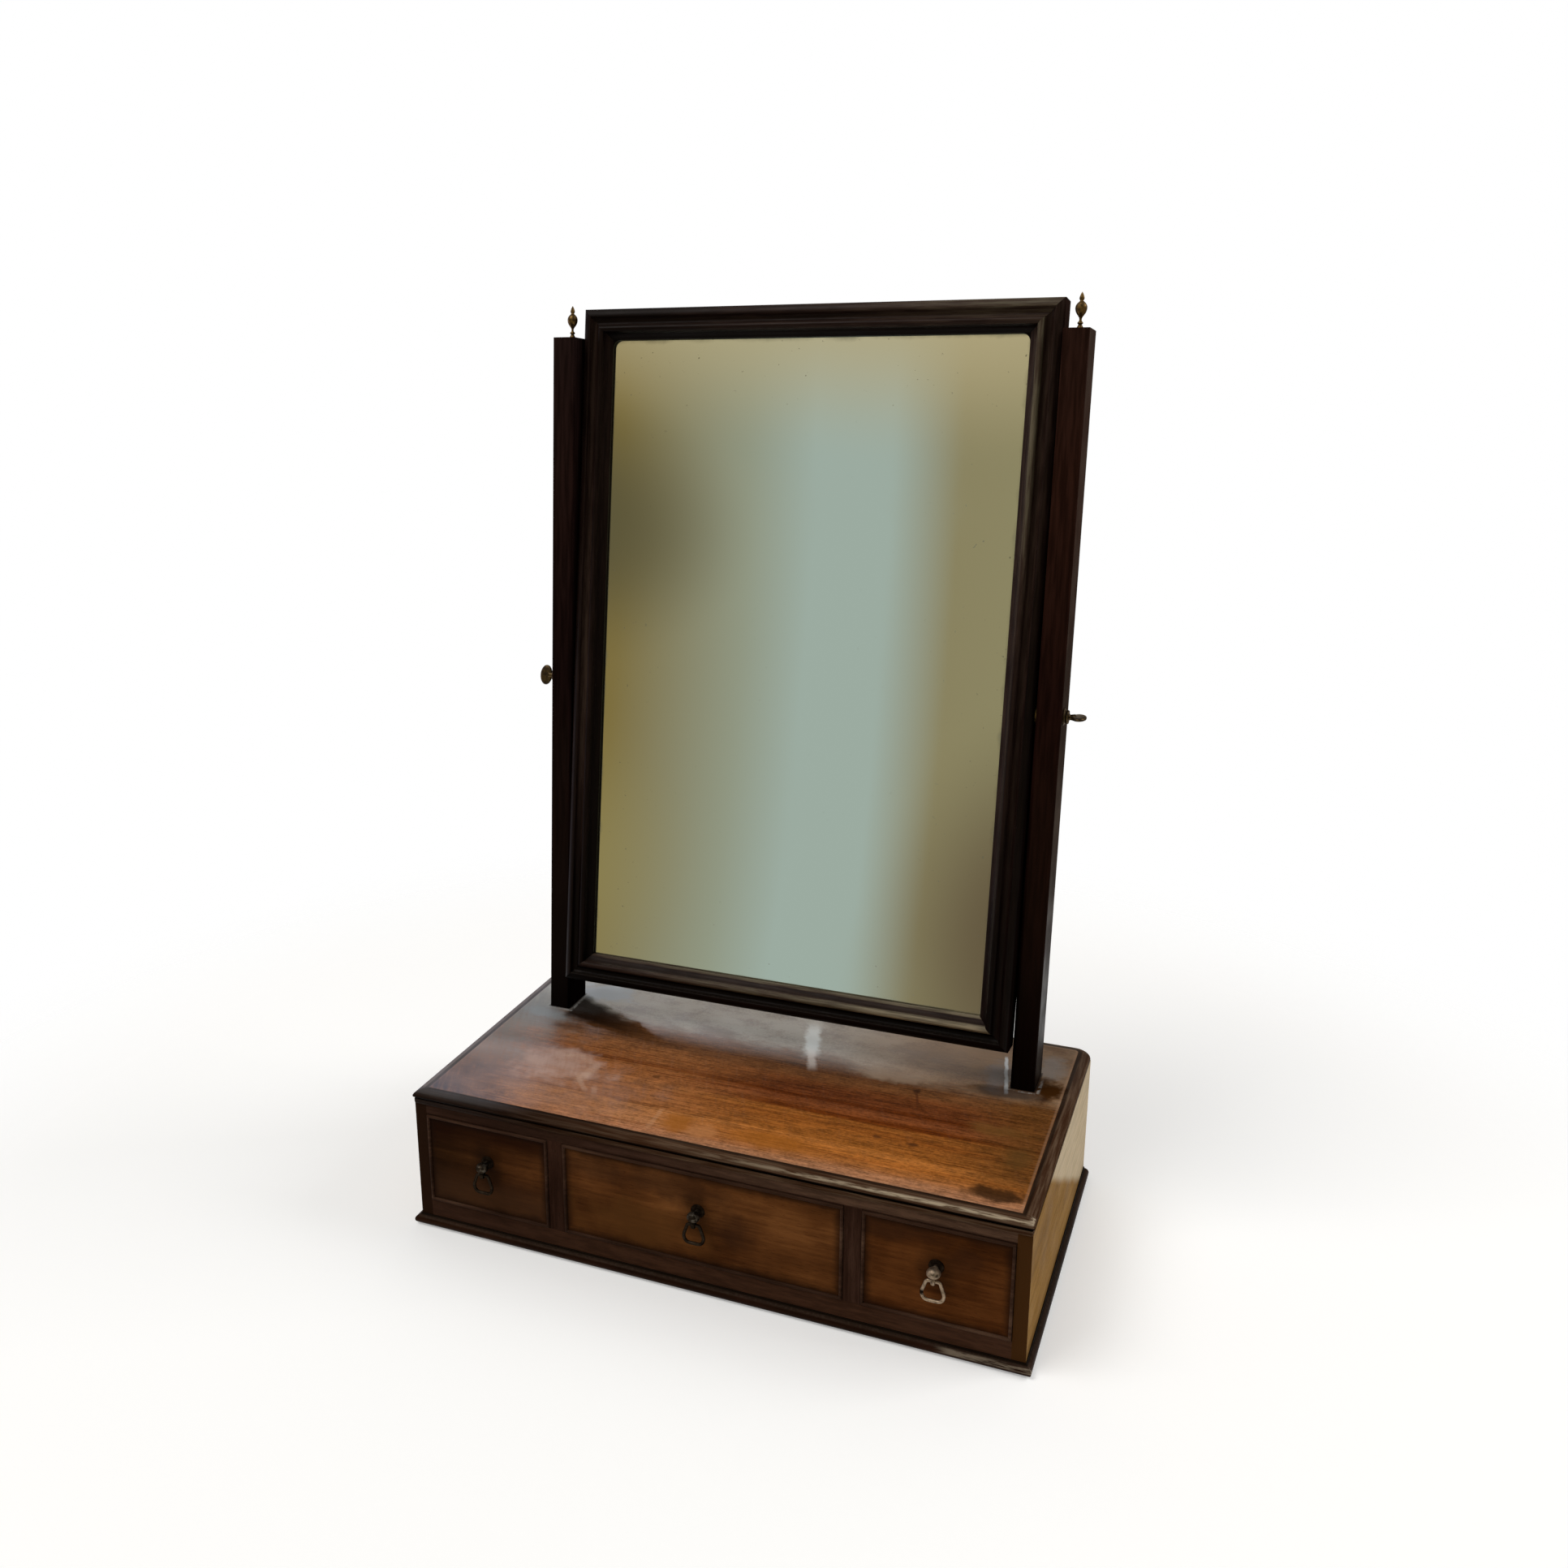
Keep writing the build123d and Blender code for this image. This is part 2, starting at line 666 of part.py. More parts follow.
frame_height = frame_height_above_pivot + frame_height_below_pivot
frame_middle_z = (frame_height_above_pivot - frame_height_below_pivot) / 2
sight_half = half_frame - frame_face
sight_top = frame_height_above_pivot - frame_face
glass_seat_y = frame_pivot_depth - glass_seat_depth


def corner_spandrel(side):
    """Small piece that rounds the top corner of the sight edge"""
    radius = frame_corner_radius
    x, z = side * sight_half, sight_top
    corner = polygon([(x, z), (x - side * radius, z), (x - side * radius, z - radius), (x, z - radius)],
                     Plane.XZ)
    lip_y = frame_pivot_depth - frame_lip_depth
    solid = Pos(0, lip_y, 0) * extrude(corner, frame_lip_depth - glass_seat_depth, dir=(0, 1, 0))
    bore = drum(radius, lip_y, glass_seat_y, Axis.Y, through=(x - side * radius, 0, z - radius))
    return solid - bore


def top_rail():
    """Top member with the two pieces that round the sight corners"""
    rail = Pos(0, 0, frame_height_above_pivot) * Rot(0, 180, 0) * frame_member(frame_width)
    return rail + corner_spandrel(-1) + corner_spandrel(1)


def plate_outline(side):
    """Rectangular plate let into a stile's outer edge"""
    x = sorted((side * (half_frame - plate_thickness), side * half_frame))
    return block(x, (-plate_width / 2, plate_width / 2), (-plate_length / 2, plate_length / 2))


def stile(side):
    """Upright member with the recess for its pivot plate and a hole for the screw"""
    member = Rot(0, -side * 90, 0) * frame_member(frame_height)
    member = Pos(side * half_frame, 0, frame_middle_z) * member
    start = side * (half_frame - screw_depth_in_stile)
    pilot = drum(pivot_screw_radius + screw_pilot_clearance, start, side * half_frame)
    return member - plate_outline(side) - pilot


def pivot_plate(side):
    """Brass plate with a round boss towards the post, bored for the screw"""
    plate = plate_outline(side)
    boss = drum(plate_boss_radius, side * half_frame, side * (half_frame + boss_height))
    bore = drum(pivot_screw_radius + pivot_running_clearance, side * (half_frame - plate_thickness),
                side * (half_frame + boss_height))
    return plate + boss - bore


def glass():
    """Plate of silvered glass, resting on the rebate behind the sight edge"""
    reach = glass_rebate - glass_clearance
    low = -frame_height_below_pivot + frame_face - reach
    return block((-sight_half - reach, sight_half + reach),
                 (glass_seat_y, glass_seat_y + glass_thickness), (low, sight_top + reach))


def backboard():
    """Thin board in the wider rebate at the back"""
    reach = backboard_rebate - backboard_clearance
    low = -frame_height_below_pivot + frame_face - reach
    return block((-sight_half - reach, sight_half + reach),
                 (frame_pivot_depth - backboard_thickness, frame_pivot_depth), (low, sight_top + reach))


def glass_blocks():
    """Small blocks between the glass and the backboard, along all four members"""
    y = (glass_seat_y + glass_thickness, frame_pivot_depth - backboard_thickness)
    half_length = glass_block_length / 2
    edge_x = sight_half + glass_rebate
    bottom_z = -frame_height_below_pivot + frame_face - glass_rebate
    top_z = sight_top + glass_rebate
    blocks = []
    for side in (-1, 1):
        x = sorted((side * edge_x, side * (edge_x - glass_block_width)))
        for share in glass_block_places:
            z = bottom_z + share * (top_z - bottom_z)
            blocks.append(block(x, y, (z - half_length, z + half_length)))
        x_middle = side * sight_half / 2
        for z in ((bottom_z, bottom_z + glass_block_width), (top_z - glass_block_width, top_z)):
            blocks.append(block((x_middle - half_length, x_middle + half_length), y, z))
    return group(blocks)


def thumb_screw(side, turn):
    """Screw through the post, with a collar, a neck and a flat oval thumb plate"""
    outer = post_outer_half_span + rose_thickness + pivot_face_gap
    neck_start = outer + thumb_collar_thickness
    plate_middle = neck_start + thumb_neck_length + thumb_plate_half_length - thumb_plate_overlap
    shank = drum(pivot_screw_radius, half_frame - screw_depth_in_stile, outer)
    collar = drum(thumb_collar_radius, outer, neck_start)
    neck = drum(thumb_neck_radius, neck_start, plate_middle)
    outline = SlotCenterToCenter(2 * (thumb_plate_half_width - thumb_plate_half_length),
                                 2 * thumb_plate_half_length, rotation=90)
    oval = extrude(outline, thumb_plate_thickness / 2, both=True)
    screw = shank + collar + neck + Pos(plate_middle, 0, 0) * oval
    screw = Rot(turn, 0, 0) * screw
    return screw if side > 0 else Rot(0, 0, 180) * screw


swing_parts = {"frame_top_rail": top_rail(),
               "frame_bottom_rail": Pos(0, 0, -frame_height_below_pivot) * frame_member(frame_width),
               "mirror_glass": glass(), "mirror_backboard": backboard(), "glass_blocks": glass_blocks()}
for name, side, turn in (("left", -1, 90 + mirror_tilt), ("right", 1, mirror_tilt)):
    swing_parts["frame_" + name + "_stile"] = stile(side)
    swing_parts[name + "_pivot_plate"] = pivot_plate(side)
    swing_parts[name + "_thumb_screw"] = thumb_screw(side, turn)
swing = Pos(0, pivot_y, pivot_z) * Rot(-mirror_tilt, 0, 0)
for name, solid in swing_parts.items():
    parts[name] = swing * solid


os.makedirs("parts", exist_ok=True)
for name, solid in parts.items():
    export_step(solid, "parts/" + name + ".step")
print("pivot", round(pivot_y, 3), round(pivot_z, 3), "board top", board_top, "front", front_y)
print("nodes", len(parts))
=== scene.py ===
"""Dressing table mirror: a swing mirror on two raked posts, standing on a box with three drawers.

Meshes are in metres in the frame of the solids: X runs to the right, Y to the back and Z up, with the
origin on the table. Sizes in the classes are in millimetres, and so are the patterns of the finishes.
"""

import json
import logging
from dataclasses import dataclass, replace
from enum import Enum
from functools import cached_property, reduce
from math import pi, radians
from operator import or_
from typing import Iterable, Sequence, Union

import bmesh
import bpy
import numpy as np
from mathutils import Matrix, Vector


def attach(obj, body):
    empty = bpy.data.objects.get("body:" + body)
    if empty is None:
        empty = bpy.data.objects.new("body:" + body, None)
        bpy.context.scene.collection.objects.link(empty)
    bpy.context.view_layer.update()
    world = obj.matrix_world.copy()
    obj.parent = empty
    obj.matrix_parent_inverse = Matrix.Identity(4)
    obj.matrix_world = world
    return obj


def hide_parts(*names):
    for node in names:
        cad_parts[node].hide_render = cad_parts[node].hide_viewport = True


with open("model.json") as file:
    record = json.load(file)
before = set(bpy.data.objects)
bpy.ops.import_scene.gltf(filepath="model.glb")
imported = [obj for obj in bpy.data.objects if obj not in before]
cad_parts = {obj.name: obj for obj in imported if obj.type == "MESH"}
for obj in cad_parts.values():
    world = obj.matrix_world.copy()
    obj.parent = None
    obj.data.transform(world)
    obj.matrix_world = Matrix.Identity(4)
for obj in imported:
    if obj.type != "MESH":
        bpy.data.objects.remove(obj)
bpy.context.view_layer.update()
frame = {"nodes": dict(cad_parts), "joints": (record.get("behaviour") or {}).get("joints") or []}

MM = 0.001
LOG = logging.getLogger("dressing_table_mirror")

Colour = tuple[float, float, float]
Socket = bpy.types.NodeSocket
Value = Union["Field", float]
Bands = tuple[tuple[float, Colour], ...]
Spots = tuple[tuple[Sequence[float], Sequence[float], float, Colour], ...]
Lines = tuple[tuple[Sequence[float], Sequence[float], float, float, Colour], ...]

SIDES = {"left": -1, "right": 1}
TOP_LOW, TOP_HIGH, TOP_FACE = (-230.0, -124.05), (230.0, 134.45), 114.0
TOP_CORNER = 13.0
TOP_SHOULDER = 9.5
FRAME_HALF, FRAME_BELOW, FRAME_ABOVE = 181.0, 248.5, 285.5
FRAME_LEAN, POST_LEAN = 8.0, 5.0
DRAWERS = (("left", -168.5, 101.2), ("middle", 0.0, 210.2), ("right", 168.5, 101.2))
DRAWER_LOW, DRAWER_HIGH = 22.8, 95.0


# Surfaces

@dataclass(frozen=True)
class Shell:
    """Surface in millimetres: points, four-sided faces and flat end faces."""

    points: np.ndarray
    quads: np.ndarray
    caps: tuple[np.ndarray, ...] = ()

    def placed(self, place: Matrix) -> "Shell":
        """Returns the shell turned and moved by a 4 by 4 matrix."""
        turn = np.array(place)
        return replace(self, points=self.points @ turn[:3, :3].T + turn[:3, 3])

    def __add__(self, other: "Shell") -> "Shell":
        """Returns both shells as one, their points one after the other."""
        step = len(self.points)
        return Shell(np.vstack([self.points, other.points]),
                     np.vstack([self.quads, other.quads + step]),
                     self.caps + tuple(cap + step for cap in other.caps))


def joined(shells: Iterable[Shell]) -> Shell:
    """Returns several shells as one."""
    first, *rest = shells
    for shell in rest:
        first = first + shell
    return first


def loft(rings: np.ndarray, closed: bool = False) -> Shell:
    """Joins a row of closed rings of points with four-sided faces.

    Point (i, j) is the j-th point of ring i. Each face has the corners (i, j), (i, j + 1),
    (i + 1, j + 1) and (i + 1, j), with j counted round the ring.

    Args:
        rings: Array of rings by points by 3.
        closed: Whether the last ring joins the first. If not, both end rings become flat faces.

    Returns:
        The closed shell.
    """
    index = np.arange(rings.shape[0] * rings.shape[1]).reshape(rings.shape[:2])
    beside = np.roll(index, -1, axis=1)
    if closed:
        quads = np.stack([index, beside, np.roll(beside, -1, axis=0), np.roll(index, -1, axis=0)], -1)
        return Shell(rings.reshape(-1, 3), quads.reshape(-1, 4))
    quads = np.stack([index[:-1], beside[:-1], beside[1:], index[1:]], -1)
    return Shell(rings.reshape(-1, 3), quads.reshape(-1, 4), (index[0][::-1], index[-1]))


def turned(profile: np.ndarray, steps: int = 40, closed: bool = False) -> Shell:
    """Turns a profile about the local Z axis.

    Point (i, j) is (r_i cos a_j, r_i sin a_j, z_i), with a_j going once round.

    Args:
        profile: Rows of radius and height.
        steps: Points round the axis.
        closed: Whether the profile is a closed section, as of a ring with a hole.

    Returns:
        The turned shell.
    """
    angle = np.linspace(0, 2 * pi, steps, endpoint=False)
    radius, height = profile[:, 0, None], profile[:, 1, None]
    rings = np.stack([radius * np.cos(angle), radius * np.sin(angle), height + 0 * angle], -1)
    return loft(rings, closed)


def tube(path: np.ndarray, radius: float, normal: Sequence[float], steps: int = 14) -> Shell:
    """Carries a circle along a closed plane path.

    The ring at a point is the point plus radius times (cos a times the path's side direction plus
    sin a times the plane's normal), where the side direction is the normal crossed with the tangent.

    Args:
        path: Points of the closed path, without the first one again at the end.
        radius: Radius of the wire.
        normal: Normal of the path's plane.
        steps: Points round the wire.

    Returns:
        The closed ring of wire.
    """
    tangent = np.roll(path, -1, axis=0) - np.roll(path, 1, axis=0)
    tangent /= np.linalg.norm(tangent, axis=1, keepdims=True)
    up = np.asarray(normal, float)
    side = np.cross(up, tangent)[:, None]
    angle = np.linspace(0, 2 * pi, steps, endpoint=False)[None, :, None]
    return loft(path[:, None] + radius * (np.cos(angle) * side + np.sin(angle) * up), closed=True)


def mitred_bar(section: np.ndarray, length: float, mitres: tuple[float, float] = (1.0, 1.0),
               stations: int = 12, gap: float = 0.03) -> Shell:
    """Carries a section along X and cuts its ends at the slope that the mitres ask for.

    A point of the section at depth u inwards runs from x = gap + u times the first mitre to
    x = length - gap - u times the second one, both counted from the left end.

    Args:
        section: Rows of depth inwards from the outer edge and reach forwards.
        length: Length along the outer edge.
        mitres: 1 for an end at 45 degrees and 0 for a square one.
        stations: Number of sections along the bar.
        gap: Opening of the joint at each end.

    Returns:
        The bar, middle at x = 0, with the reach along Y and the depth along Z.
    """
    depth, reach = section[:, 0], section[:, 1]
    start = gap + depth * mitres[0]
    end = length - gap - depth * mitres[1]
    share = np.linspace(0, 1, stations)[:, None]
    x = start + (end - start) * share - length / 2
    return loft(np.stack([x, reach + 0 * x, depth + 0 * x], -1))


def arc(start: Sequence[float], via: Sequence[float], end: Sequence[float], steps: int = 9) -> np.ndarray:
    """Lays points on the circle through three points of a plane.

    The centre solves the two equations that it is as far from the start as from each other point,
    and the points lie at even angles from the start to the end, on the side of the middle one.

    Args:
        start: First point.
        via: A point between the ends.
        end: Last point.
        steps: Number of points, both ends among them.

    Returns:
        The points.
    """
    a, b, c = (np.asarray(point, float) for point in (start, via, end))
    centre = np.linalg.solve(2 * np.stack([b - a, c - a]), np.array([b @ b - a @ a, c @ c - a @ a]))
    angles = np.arctan2(*(np.stack([a, b, c]) - centre).T[::-1])
    steps_on = np.mod(np.diff(angles), 2 * pi)
    sweep = steps_on.sum() if steps_on.sum() < 2 * pi else steps_on.sum() - 4 * pi
    turn = angles[0] + np.linspace(0, sweep, steps)
    return centre + np.linalg.norm(a - centre) * np.stack([np.cos(turn), np.sin(turn)], -1)


def bends(near: np.ndarray, corners: np.ndarray, far: np.ndarray, steps: int) -> np.ndarray:
    """Rounds corners with the curve (1 - t)^2 A + 2 t (1 - t) C + t^2 B, which leads past a corner C.

    Args:
        near: Start A of each curve.
        corners: Corner C of each curve.
        far: End B of each curve.
        steps: Points on each curve.

    Returns:
        The points of all the curves, one after the other.
    """
    t = np.linspace(0, 1, steps)[None, :, None]
    curves = (1 - t) ** 2 * near[:, None] + 2 * t * (1 - t) * corners[:, None] + t ** 2 * far[:, None]
    return curves.reshape(-1, 2)


def softened(outline: np.ndarray, radius: float, steps: int = 4, keep: float = 25.0) -> np.ndarray:
    """Rounds the corners of a closed plane outline.

    A corner that turns by more than the kept angle becomes a bend between its two sides, from a
    radius or less before it to as much after it.

    Args:
        outline: Points of the outline.
        radius: Distance from a corner to the ends of its curve, at most 0.45 of the side.
        steps: Points on each curve.
        keep: Angle in degrees below which a corner stays as it is.

    Returns:
        The rounded outline, without double points.
    """
    before = np.roll(outline, 1, axis=0) - outline
    after = np.roll(outline, -1, axis=0) - outline
    reach_in = np.linalg.norm(before, axis=1, keepdims=True)
    reach_out = np.linalg.norm(after, axis=1, keepdims=True)
    turn = np.degrees(np.arccos(np.clip(-(before * after).sum(1) / (reach_in * reach_out)[:, 0], -1, 1)))
    sharp = (turn > keep)[:, None]
    near = outline + before / reach_in * np.minimum(radius, 0.45 * reach_in) * sharp
    far = outline + after / reach_out * np.minimum(radius, 0.45 * reach_out) * sharp
    flat = bends(near, outline, far, steps)
    return flat[np.linalg.norm(flat - np.roll(flat, 1, axis=0), axis=1) > 1e-6]


def smoothed(line: np.ndarray, rounds: int = 2) -> np.ndarray:
    """Cuts the corners of an open line, each side giving points at a quarter and three quarters.

    Args:
        line: Points of the line.
        rounds: How many times its corners are cut.

    Returns:
        The smoother line, with the same ends.
    """
    for _ in range(rounds):
        quarters = np.stack([0.75 * line[:-1] + 0.25 * line[1:], 0.25 * line[:-1] + 0.75 * line[1:]], 1)
        line = np.vstack([line[:1], quarters.reshape(-1, line.shape[1]), line[-1:]])
    return line


def pillow(half: Sequence[float], power: float = 3.0, rows: int = 18, columns: int = 48) -> Shell:
    """Flat rounded plate: an ellipse in plan that is thick in its middle and round at its rim.

    With e going once round and s from -1 to 1, the ring has the radius share (1 - |s|^power)^(1/power)
    and the height s: (half x * share * cos e, half y * share * sin e, half z * s).

    Args:
        half: Half sizes along X, Y and Z.
        power: How full the rim is, 2 for an ellipsoid.
        rows: Rings from below to above.
        columns: Points round a ring.

    Returns:
        The closed plate.
    """
    turn = np.linspace(-pi / 2, pi / 2, rows)
    height = np.sign(np.sin(turn)) * np.abs(np.sin(turn)) ** (2 / power)
    share = np.clip(np.cos(turn), 0, 1) ** (2 / power)
    angle = np.linspace(0, 2 * pi, columns, endpoint=False)
    rings = np.stack([half[0] * share[:, None] * np.cos(angle), half[1] * share[:, None] * np.sin(angle),
                      half[2] * height[:, None] + 0 * angle], -1)
    return loft(rings)


def rounded_plan(low: Sequence[float], high: Sequence[float], radii: Sequence[float],
                 steps: int = 10) -> np.ndarray:
    """Outline of a rectangle with a radius of its own at each corner.

    Each corner is the arc centre + radius * (cos a, sin a), a running over a quarter turn.

    Args:
        low: Lower left corner.
        high: Upper right corner.
        radii: Radii at the lower left, lower right, upper right and upper left corner.
        steps: Points on each arc.

    Returns:
        Points of the outline, anticlockwise.
    """
    radius = np.asarray(radii, float)[:, None]
    corners = np.array([(low[0], low[1]), (high[0], low[1]), (high[0], high[1]), (low[0], high[1])])
    inwards = np.array([(1, 1), (-1, 1), (-1, -1), (1, -1)])
    angle = radians(180) + np.arange(4)[:, None] * pi / 2 + np.linspace(0, pi / 2, steps)
    rim = np.stack([np.cos(angle), np.sin(angle)], -1)
    return ((corners + radius * inwards)[:, None] + radius[:, :, None] * rim).reshape(-1, 2)


def slotted_head(radius: float, height: float, slot: float, depth: float) -> Shell:
    """Domed screw head with a straight slot, its rows parallel to the slot.

    Row s and column t lie at (s * radius, t * radius * sqrt(1 - s^2)), at the height of the dome
    height * (1 - s^2 - ...)^0.5, less the slot's depth between the slot's two walls.

    Args:
        radius: Radius of the head.
        height: Height of the dome over its rim.
        slot: Width of the slot.
        depth: Depth of the slot.

    Returns:
        The closed head, its rim at z = 0 and its dome up.
    """
    wall = slot / 2 / radius
    side = np.sin(np.linspace(np.arcsin(wall), pi / 2, 9))
    across = np.concatenate([-side[::-1], [-wall + 1e-3, wall - 1e-3], side])
    along = np.linspace(-1, 1, 15)
    s, t = np.meshgrid(across, along, indexing="ij")
    y = t * np.sqrt(1 - s ** 2)
    dome = height * np.sqrt(np.clip(1 - 0.8 * (s ** 2 + y ** 2), 0, 1))
    top = dome - depth * (np.abs(s) < wall - 5e-4)
    upper = np.stack([s * radius, y * radius, top], -1)
    lower = upper * (1, 1, 0) - (0, 0, 0.2)
    rings = np.concatenate([upper, lower[:, ::-1]], axis=1)
    return loft(rings)


def pins(places: Iterable[Sequence[float]], radius: float = 1.3, height: float = 0.45) -> Shell:
    """Turns the low domed heads of pins that stand on the XY plane.

    Args:
        places: X and Y of each pin.
        radius: Radius of a head.
        height: Height of a head.

    Returns:
        The heads, their domes up.
    """
    profile = np.array([(0, -0.2), (radius - 0.1, -0.2), (radius, 0), (radius - 0.15, 0.5 * height),
                        (0.5 * radius, height), (0, height)])
    head = turned(profile, 16)
    return joined(head.placed(move(x, y, 0)) for x, y in places)


def turn_to(axis: str) -> Matrix:
    """Returns the turn that lays a piece's local Z along an axis, given as +x, -x, +y, -y or -z."""
    turns = {"+x": (90, "Y"), "-x": (-90, "Y"), "+y": (-90, "X"), "-y": (90, "X"), "-z": (180, "X")}
    return turn(*turns[axis])


def move(x: float, y: float, z: float) -> Matrix:
    """Returns the matrix that moves by a distance in millimetres."""
    return Matrix.Translation((x, y, z))


def turn(degrees: float, axis: str) -> Matrix:
    """Returns the turn by an angle about an axis."""
    return Matrix.Rotation(radians(degrees), 4, axis)


def plate(outline: np.ndarray, places: Iterable[float]) -> Shell:
    """Returns the closed plate between two Y places, its outline given by X and Z."""
    return loft(np.stack([np.insert(outline, 1, place, axis=1) for place in places]))


# Finishes

class Field:
    """Number that varies over a surface. Sums and products work on it, | takes the greater and & the lesser."""

    def __init__(self, graph: "Graph", socket: Socket) -> None:
        """Holds an output of a node."""
        self.graph, self.socket = graph, socket

    def math(self, operation: str, *others: Value) -> "Field":
        """Returns the result of an operation on the field and others."""
        return self.graph.field("ShaderNodeMath", self, *others, operation=operation)

    def __add__(self, other: Value) -> "Field":
        """Returns the sum."""
        return self.math("ADD", other)

    def __sub__(self, other: Value) -> "Field":
        """Returns the difference."""
        return self.math("SUBTRACT", other)

    def __rsub__(self, other: float) -> "Field":
        """Returns a number less the field."""
        return self * -1.0 + other

    def __mul__(self, other: Value) -> "Field":
        """Returns the product."""
        return self.math("MULTIPLY", other)

    def __or__(self, other: Value) -> "Field":
        """Returns the greater one."""
        return self.math("MAXIMUM", other)

    def __and__(self, other: Value) -> "Field":
        """Returns the lesser one."""
        return self.math("MINIMUM", other)

    def __abs__(self) -> "Field":
        """Returns the field without its sign."""
        return self.math("ABSOLUTE")

    __radd__, __rmul__ = __add__, __mul__

    def span(self, low: float, high: float, to: tuple[float, float] = (0.0, 1.0),
             course: str = "SMOOTHSTEP") -> "Field":
        """Leads a value from one number to another while the field goes from low to high.

        Args:
            low: Value of the field at the start.
            high: Value of the field at the end.
            to: The two numbers.
            course: Blender's name of the course between them.

        Returns:
            The value.
        """
        return self.graph.field("ShaderNodeMapRange", self, low, high, *to, interpolation_type=course)


class Graph:
    """Node tree of a material or a world, with a short call for each kind of node."""

    def __init__(self, owner: bpy.types.Material | bpy.types.World) -> None:
        """Clears the owner's node tree."""
        owner.use_nodes = True
        self.owner, self.tree = owner, owner.node_tree
        self.tree.nodes.clear()

    @cached_property
    def place(self) -> Socket:
        """Place in the piece's own coordinates, in millimetres."""
        return self.vector("MULTIPLY", self.node("ShaderNodeTexCoord").outputs["Object"], (1 / MM,) * 3)

    @cached_property
    def axes(self) -> list[Field]:
        """X, Y and Z of the place."""
        return self.parts(self.place)

    def node(self, kind: str, *inputs: object, **settings: object) -> bpy.types.Node:
        """Adds a node to the tree.

        Args:
            kind: Type of the node.
            inputs: Values, sockets or fields for its inputs, in their order.
            settings: Its other settings, by name.

        Returns:
            The node.
        """
        made = self.tree.nodes.new(kind)
        for name, value in settings.items():
            setattr(made, name, value)
        for socket, value in zip(made.inputs, inputs):
            self.feed(socket, value)
        return made

    def feed(self, socket: Socket, value: object) -> None:
        """Links a field or socket into another, or sets it to a number or a colour. None leaves it."""
        if isinstance(value, Field):
            value = value.socket
        if isinstance(value, bpy.types.NodeSocket):
            self.tree.links.new(value, socket)
        elif value is not None:
            socket.default_value = (*value, 1.0) if socket.type == "RGBA" and len(value) == 3 else value

    def field(self, kind: str, *inputs: object, output: int = 0, **settings: object) -> Field:
        """Adds a node and returns one of its outputs as a field."""
        return Field(self, self.node(kind, *inputs, **settings).outputs[output])

    def vector(self, operation: str, *inputs: object) -> Socket:
        """Returns a sum, difference or product of vectors."""
        return self.node("ShaderNodeVectorMath", *inputs, operation=operation).outputs[0]

    def length(self, vector: Socket) -> Field:
        """Returns the length of a vector."""
        return self.field("ShaderNodeVectorMath", vector, output=1, operation="LENGTH")

    def distance(self, across: Field, along: Field) -> Field:
        """Returns the root of the sum of two squares."""
        return self.length(self.node("ShaderNodeCombineXYZ", across, along).outputs[0])

    def parts(self, vector: Socket) -> list[Field]:
        """Returns the three parts of a vector."""
        return [Field(self, part) for part in self.node("ShaderNodeSeparateXYZ", vector).outputs]

    def leant(self, vector: Socket, degrees: float) -> Socket:
        """Returns a vector turned about X, so that a leaning piece's own axis becomes Z."""
        return self.node("ShaderNodeMapping", vector, None, (radians(degrees), 0.0, 0.0)).outputs[0]

    def in_frame(self, degrees: float) -> Socket:
        """Returns the place as counted from the mirror's pivot, in the leaning frame's own directions."""
        return self.leant(self.vector("SUBTRACT", self.place, (0.0, PIVOT.y, PIVOT.z)), degrees)

    def noise(self, scale: float | Sequence[float], detail: float = 3.0, roughness: float = 0.55,
              vector: Socket | None = None, bend: float = 0.0, shift: float = 0.0) -> Field:
        """Makes cloudy noise.

        Args:
            scale: Waves for each millimetre, along all axes or along each.
            detail: Finer layers in it.
            roughness: Strength of the finer layers.
            vector: Place that it is worked out from, the piece's own if None.
            bend: How far it is drawn out of line.
            shift: Distance to another part of the pattern.

        Returns:
            The noise, about 0.5 on average.
        """
        waves = (scale,) * 3 if isinstance(scale, float) else scale
        moved = self.vector("ADD", self.vector("MULTIPLY", vector or self.place, waves),
                            (shift, 0.37 * shift, 0.71 * shift))
        return self.field("ShaderNodeTexNoise", moved, None, 1.0, detail, roughness, 2.0, bend)

    def spot(self, centre: Sequence[float], radii: Sequence[float], ragged: float = 0.25,
             grain: float = 0.08) -> Field:
        """Makes a mask that is 1 in the middle of an ellipsoid and fades out at its rim.

        Args:
            centre: Middle of the ellipsoid.
            radii: Its radii.
            ragged: How uneven the rim is.
            grain: Waves of the uneven rim for each millimetre.

        Returns:
            The mask.
        """
        away = self.vector("SUBTRACT", self.place, centre)
        distance = self.length(self.vector("MULTIPLY", away, tuple(1 / radius for radius in radii)))
        return (distance + 4 * ragged * (self.noise(grain, shift=centre[0]) - 0.5)).span(1.0, 0.35)

    def streak(self, start: Sequence[float], end: Sequence[float], half: float) -> Field:
        """Makes a mask along a line in plan that fades out at its sides and its ends.

        Args:
            start: Start of the line.
            end: End of the line.
            half: Half its width.

        Returns:
            The mask.
        """
        step = Vector((end[0] - start[0], end[1] - start[1], 0.0))
        unit = step.normalized()
        away = self.vector("SUBTRACT", self.place, (*start, 0.0))
        on, off = (self.field("ShaderNodeVectorMath", away, tuple(axis), output=1, operation="DOT_PRODUCT")
                   for axis in (unit, Vector((-unit.y, unit.x, 0.0))))
        aside = abs(off + 1.2 * half * self.noise(0.12, shift=start[0]) - 0.6 * half)
        ends = on.span(-half, 2 * half) * on.span(step.length + half, step.length - 2 * half)
        return aside.span(half, 0.3 * half) * ends

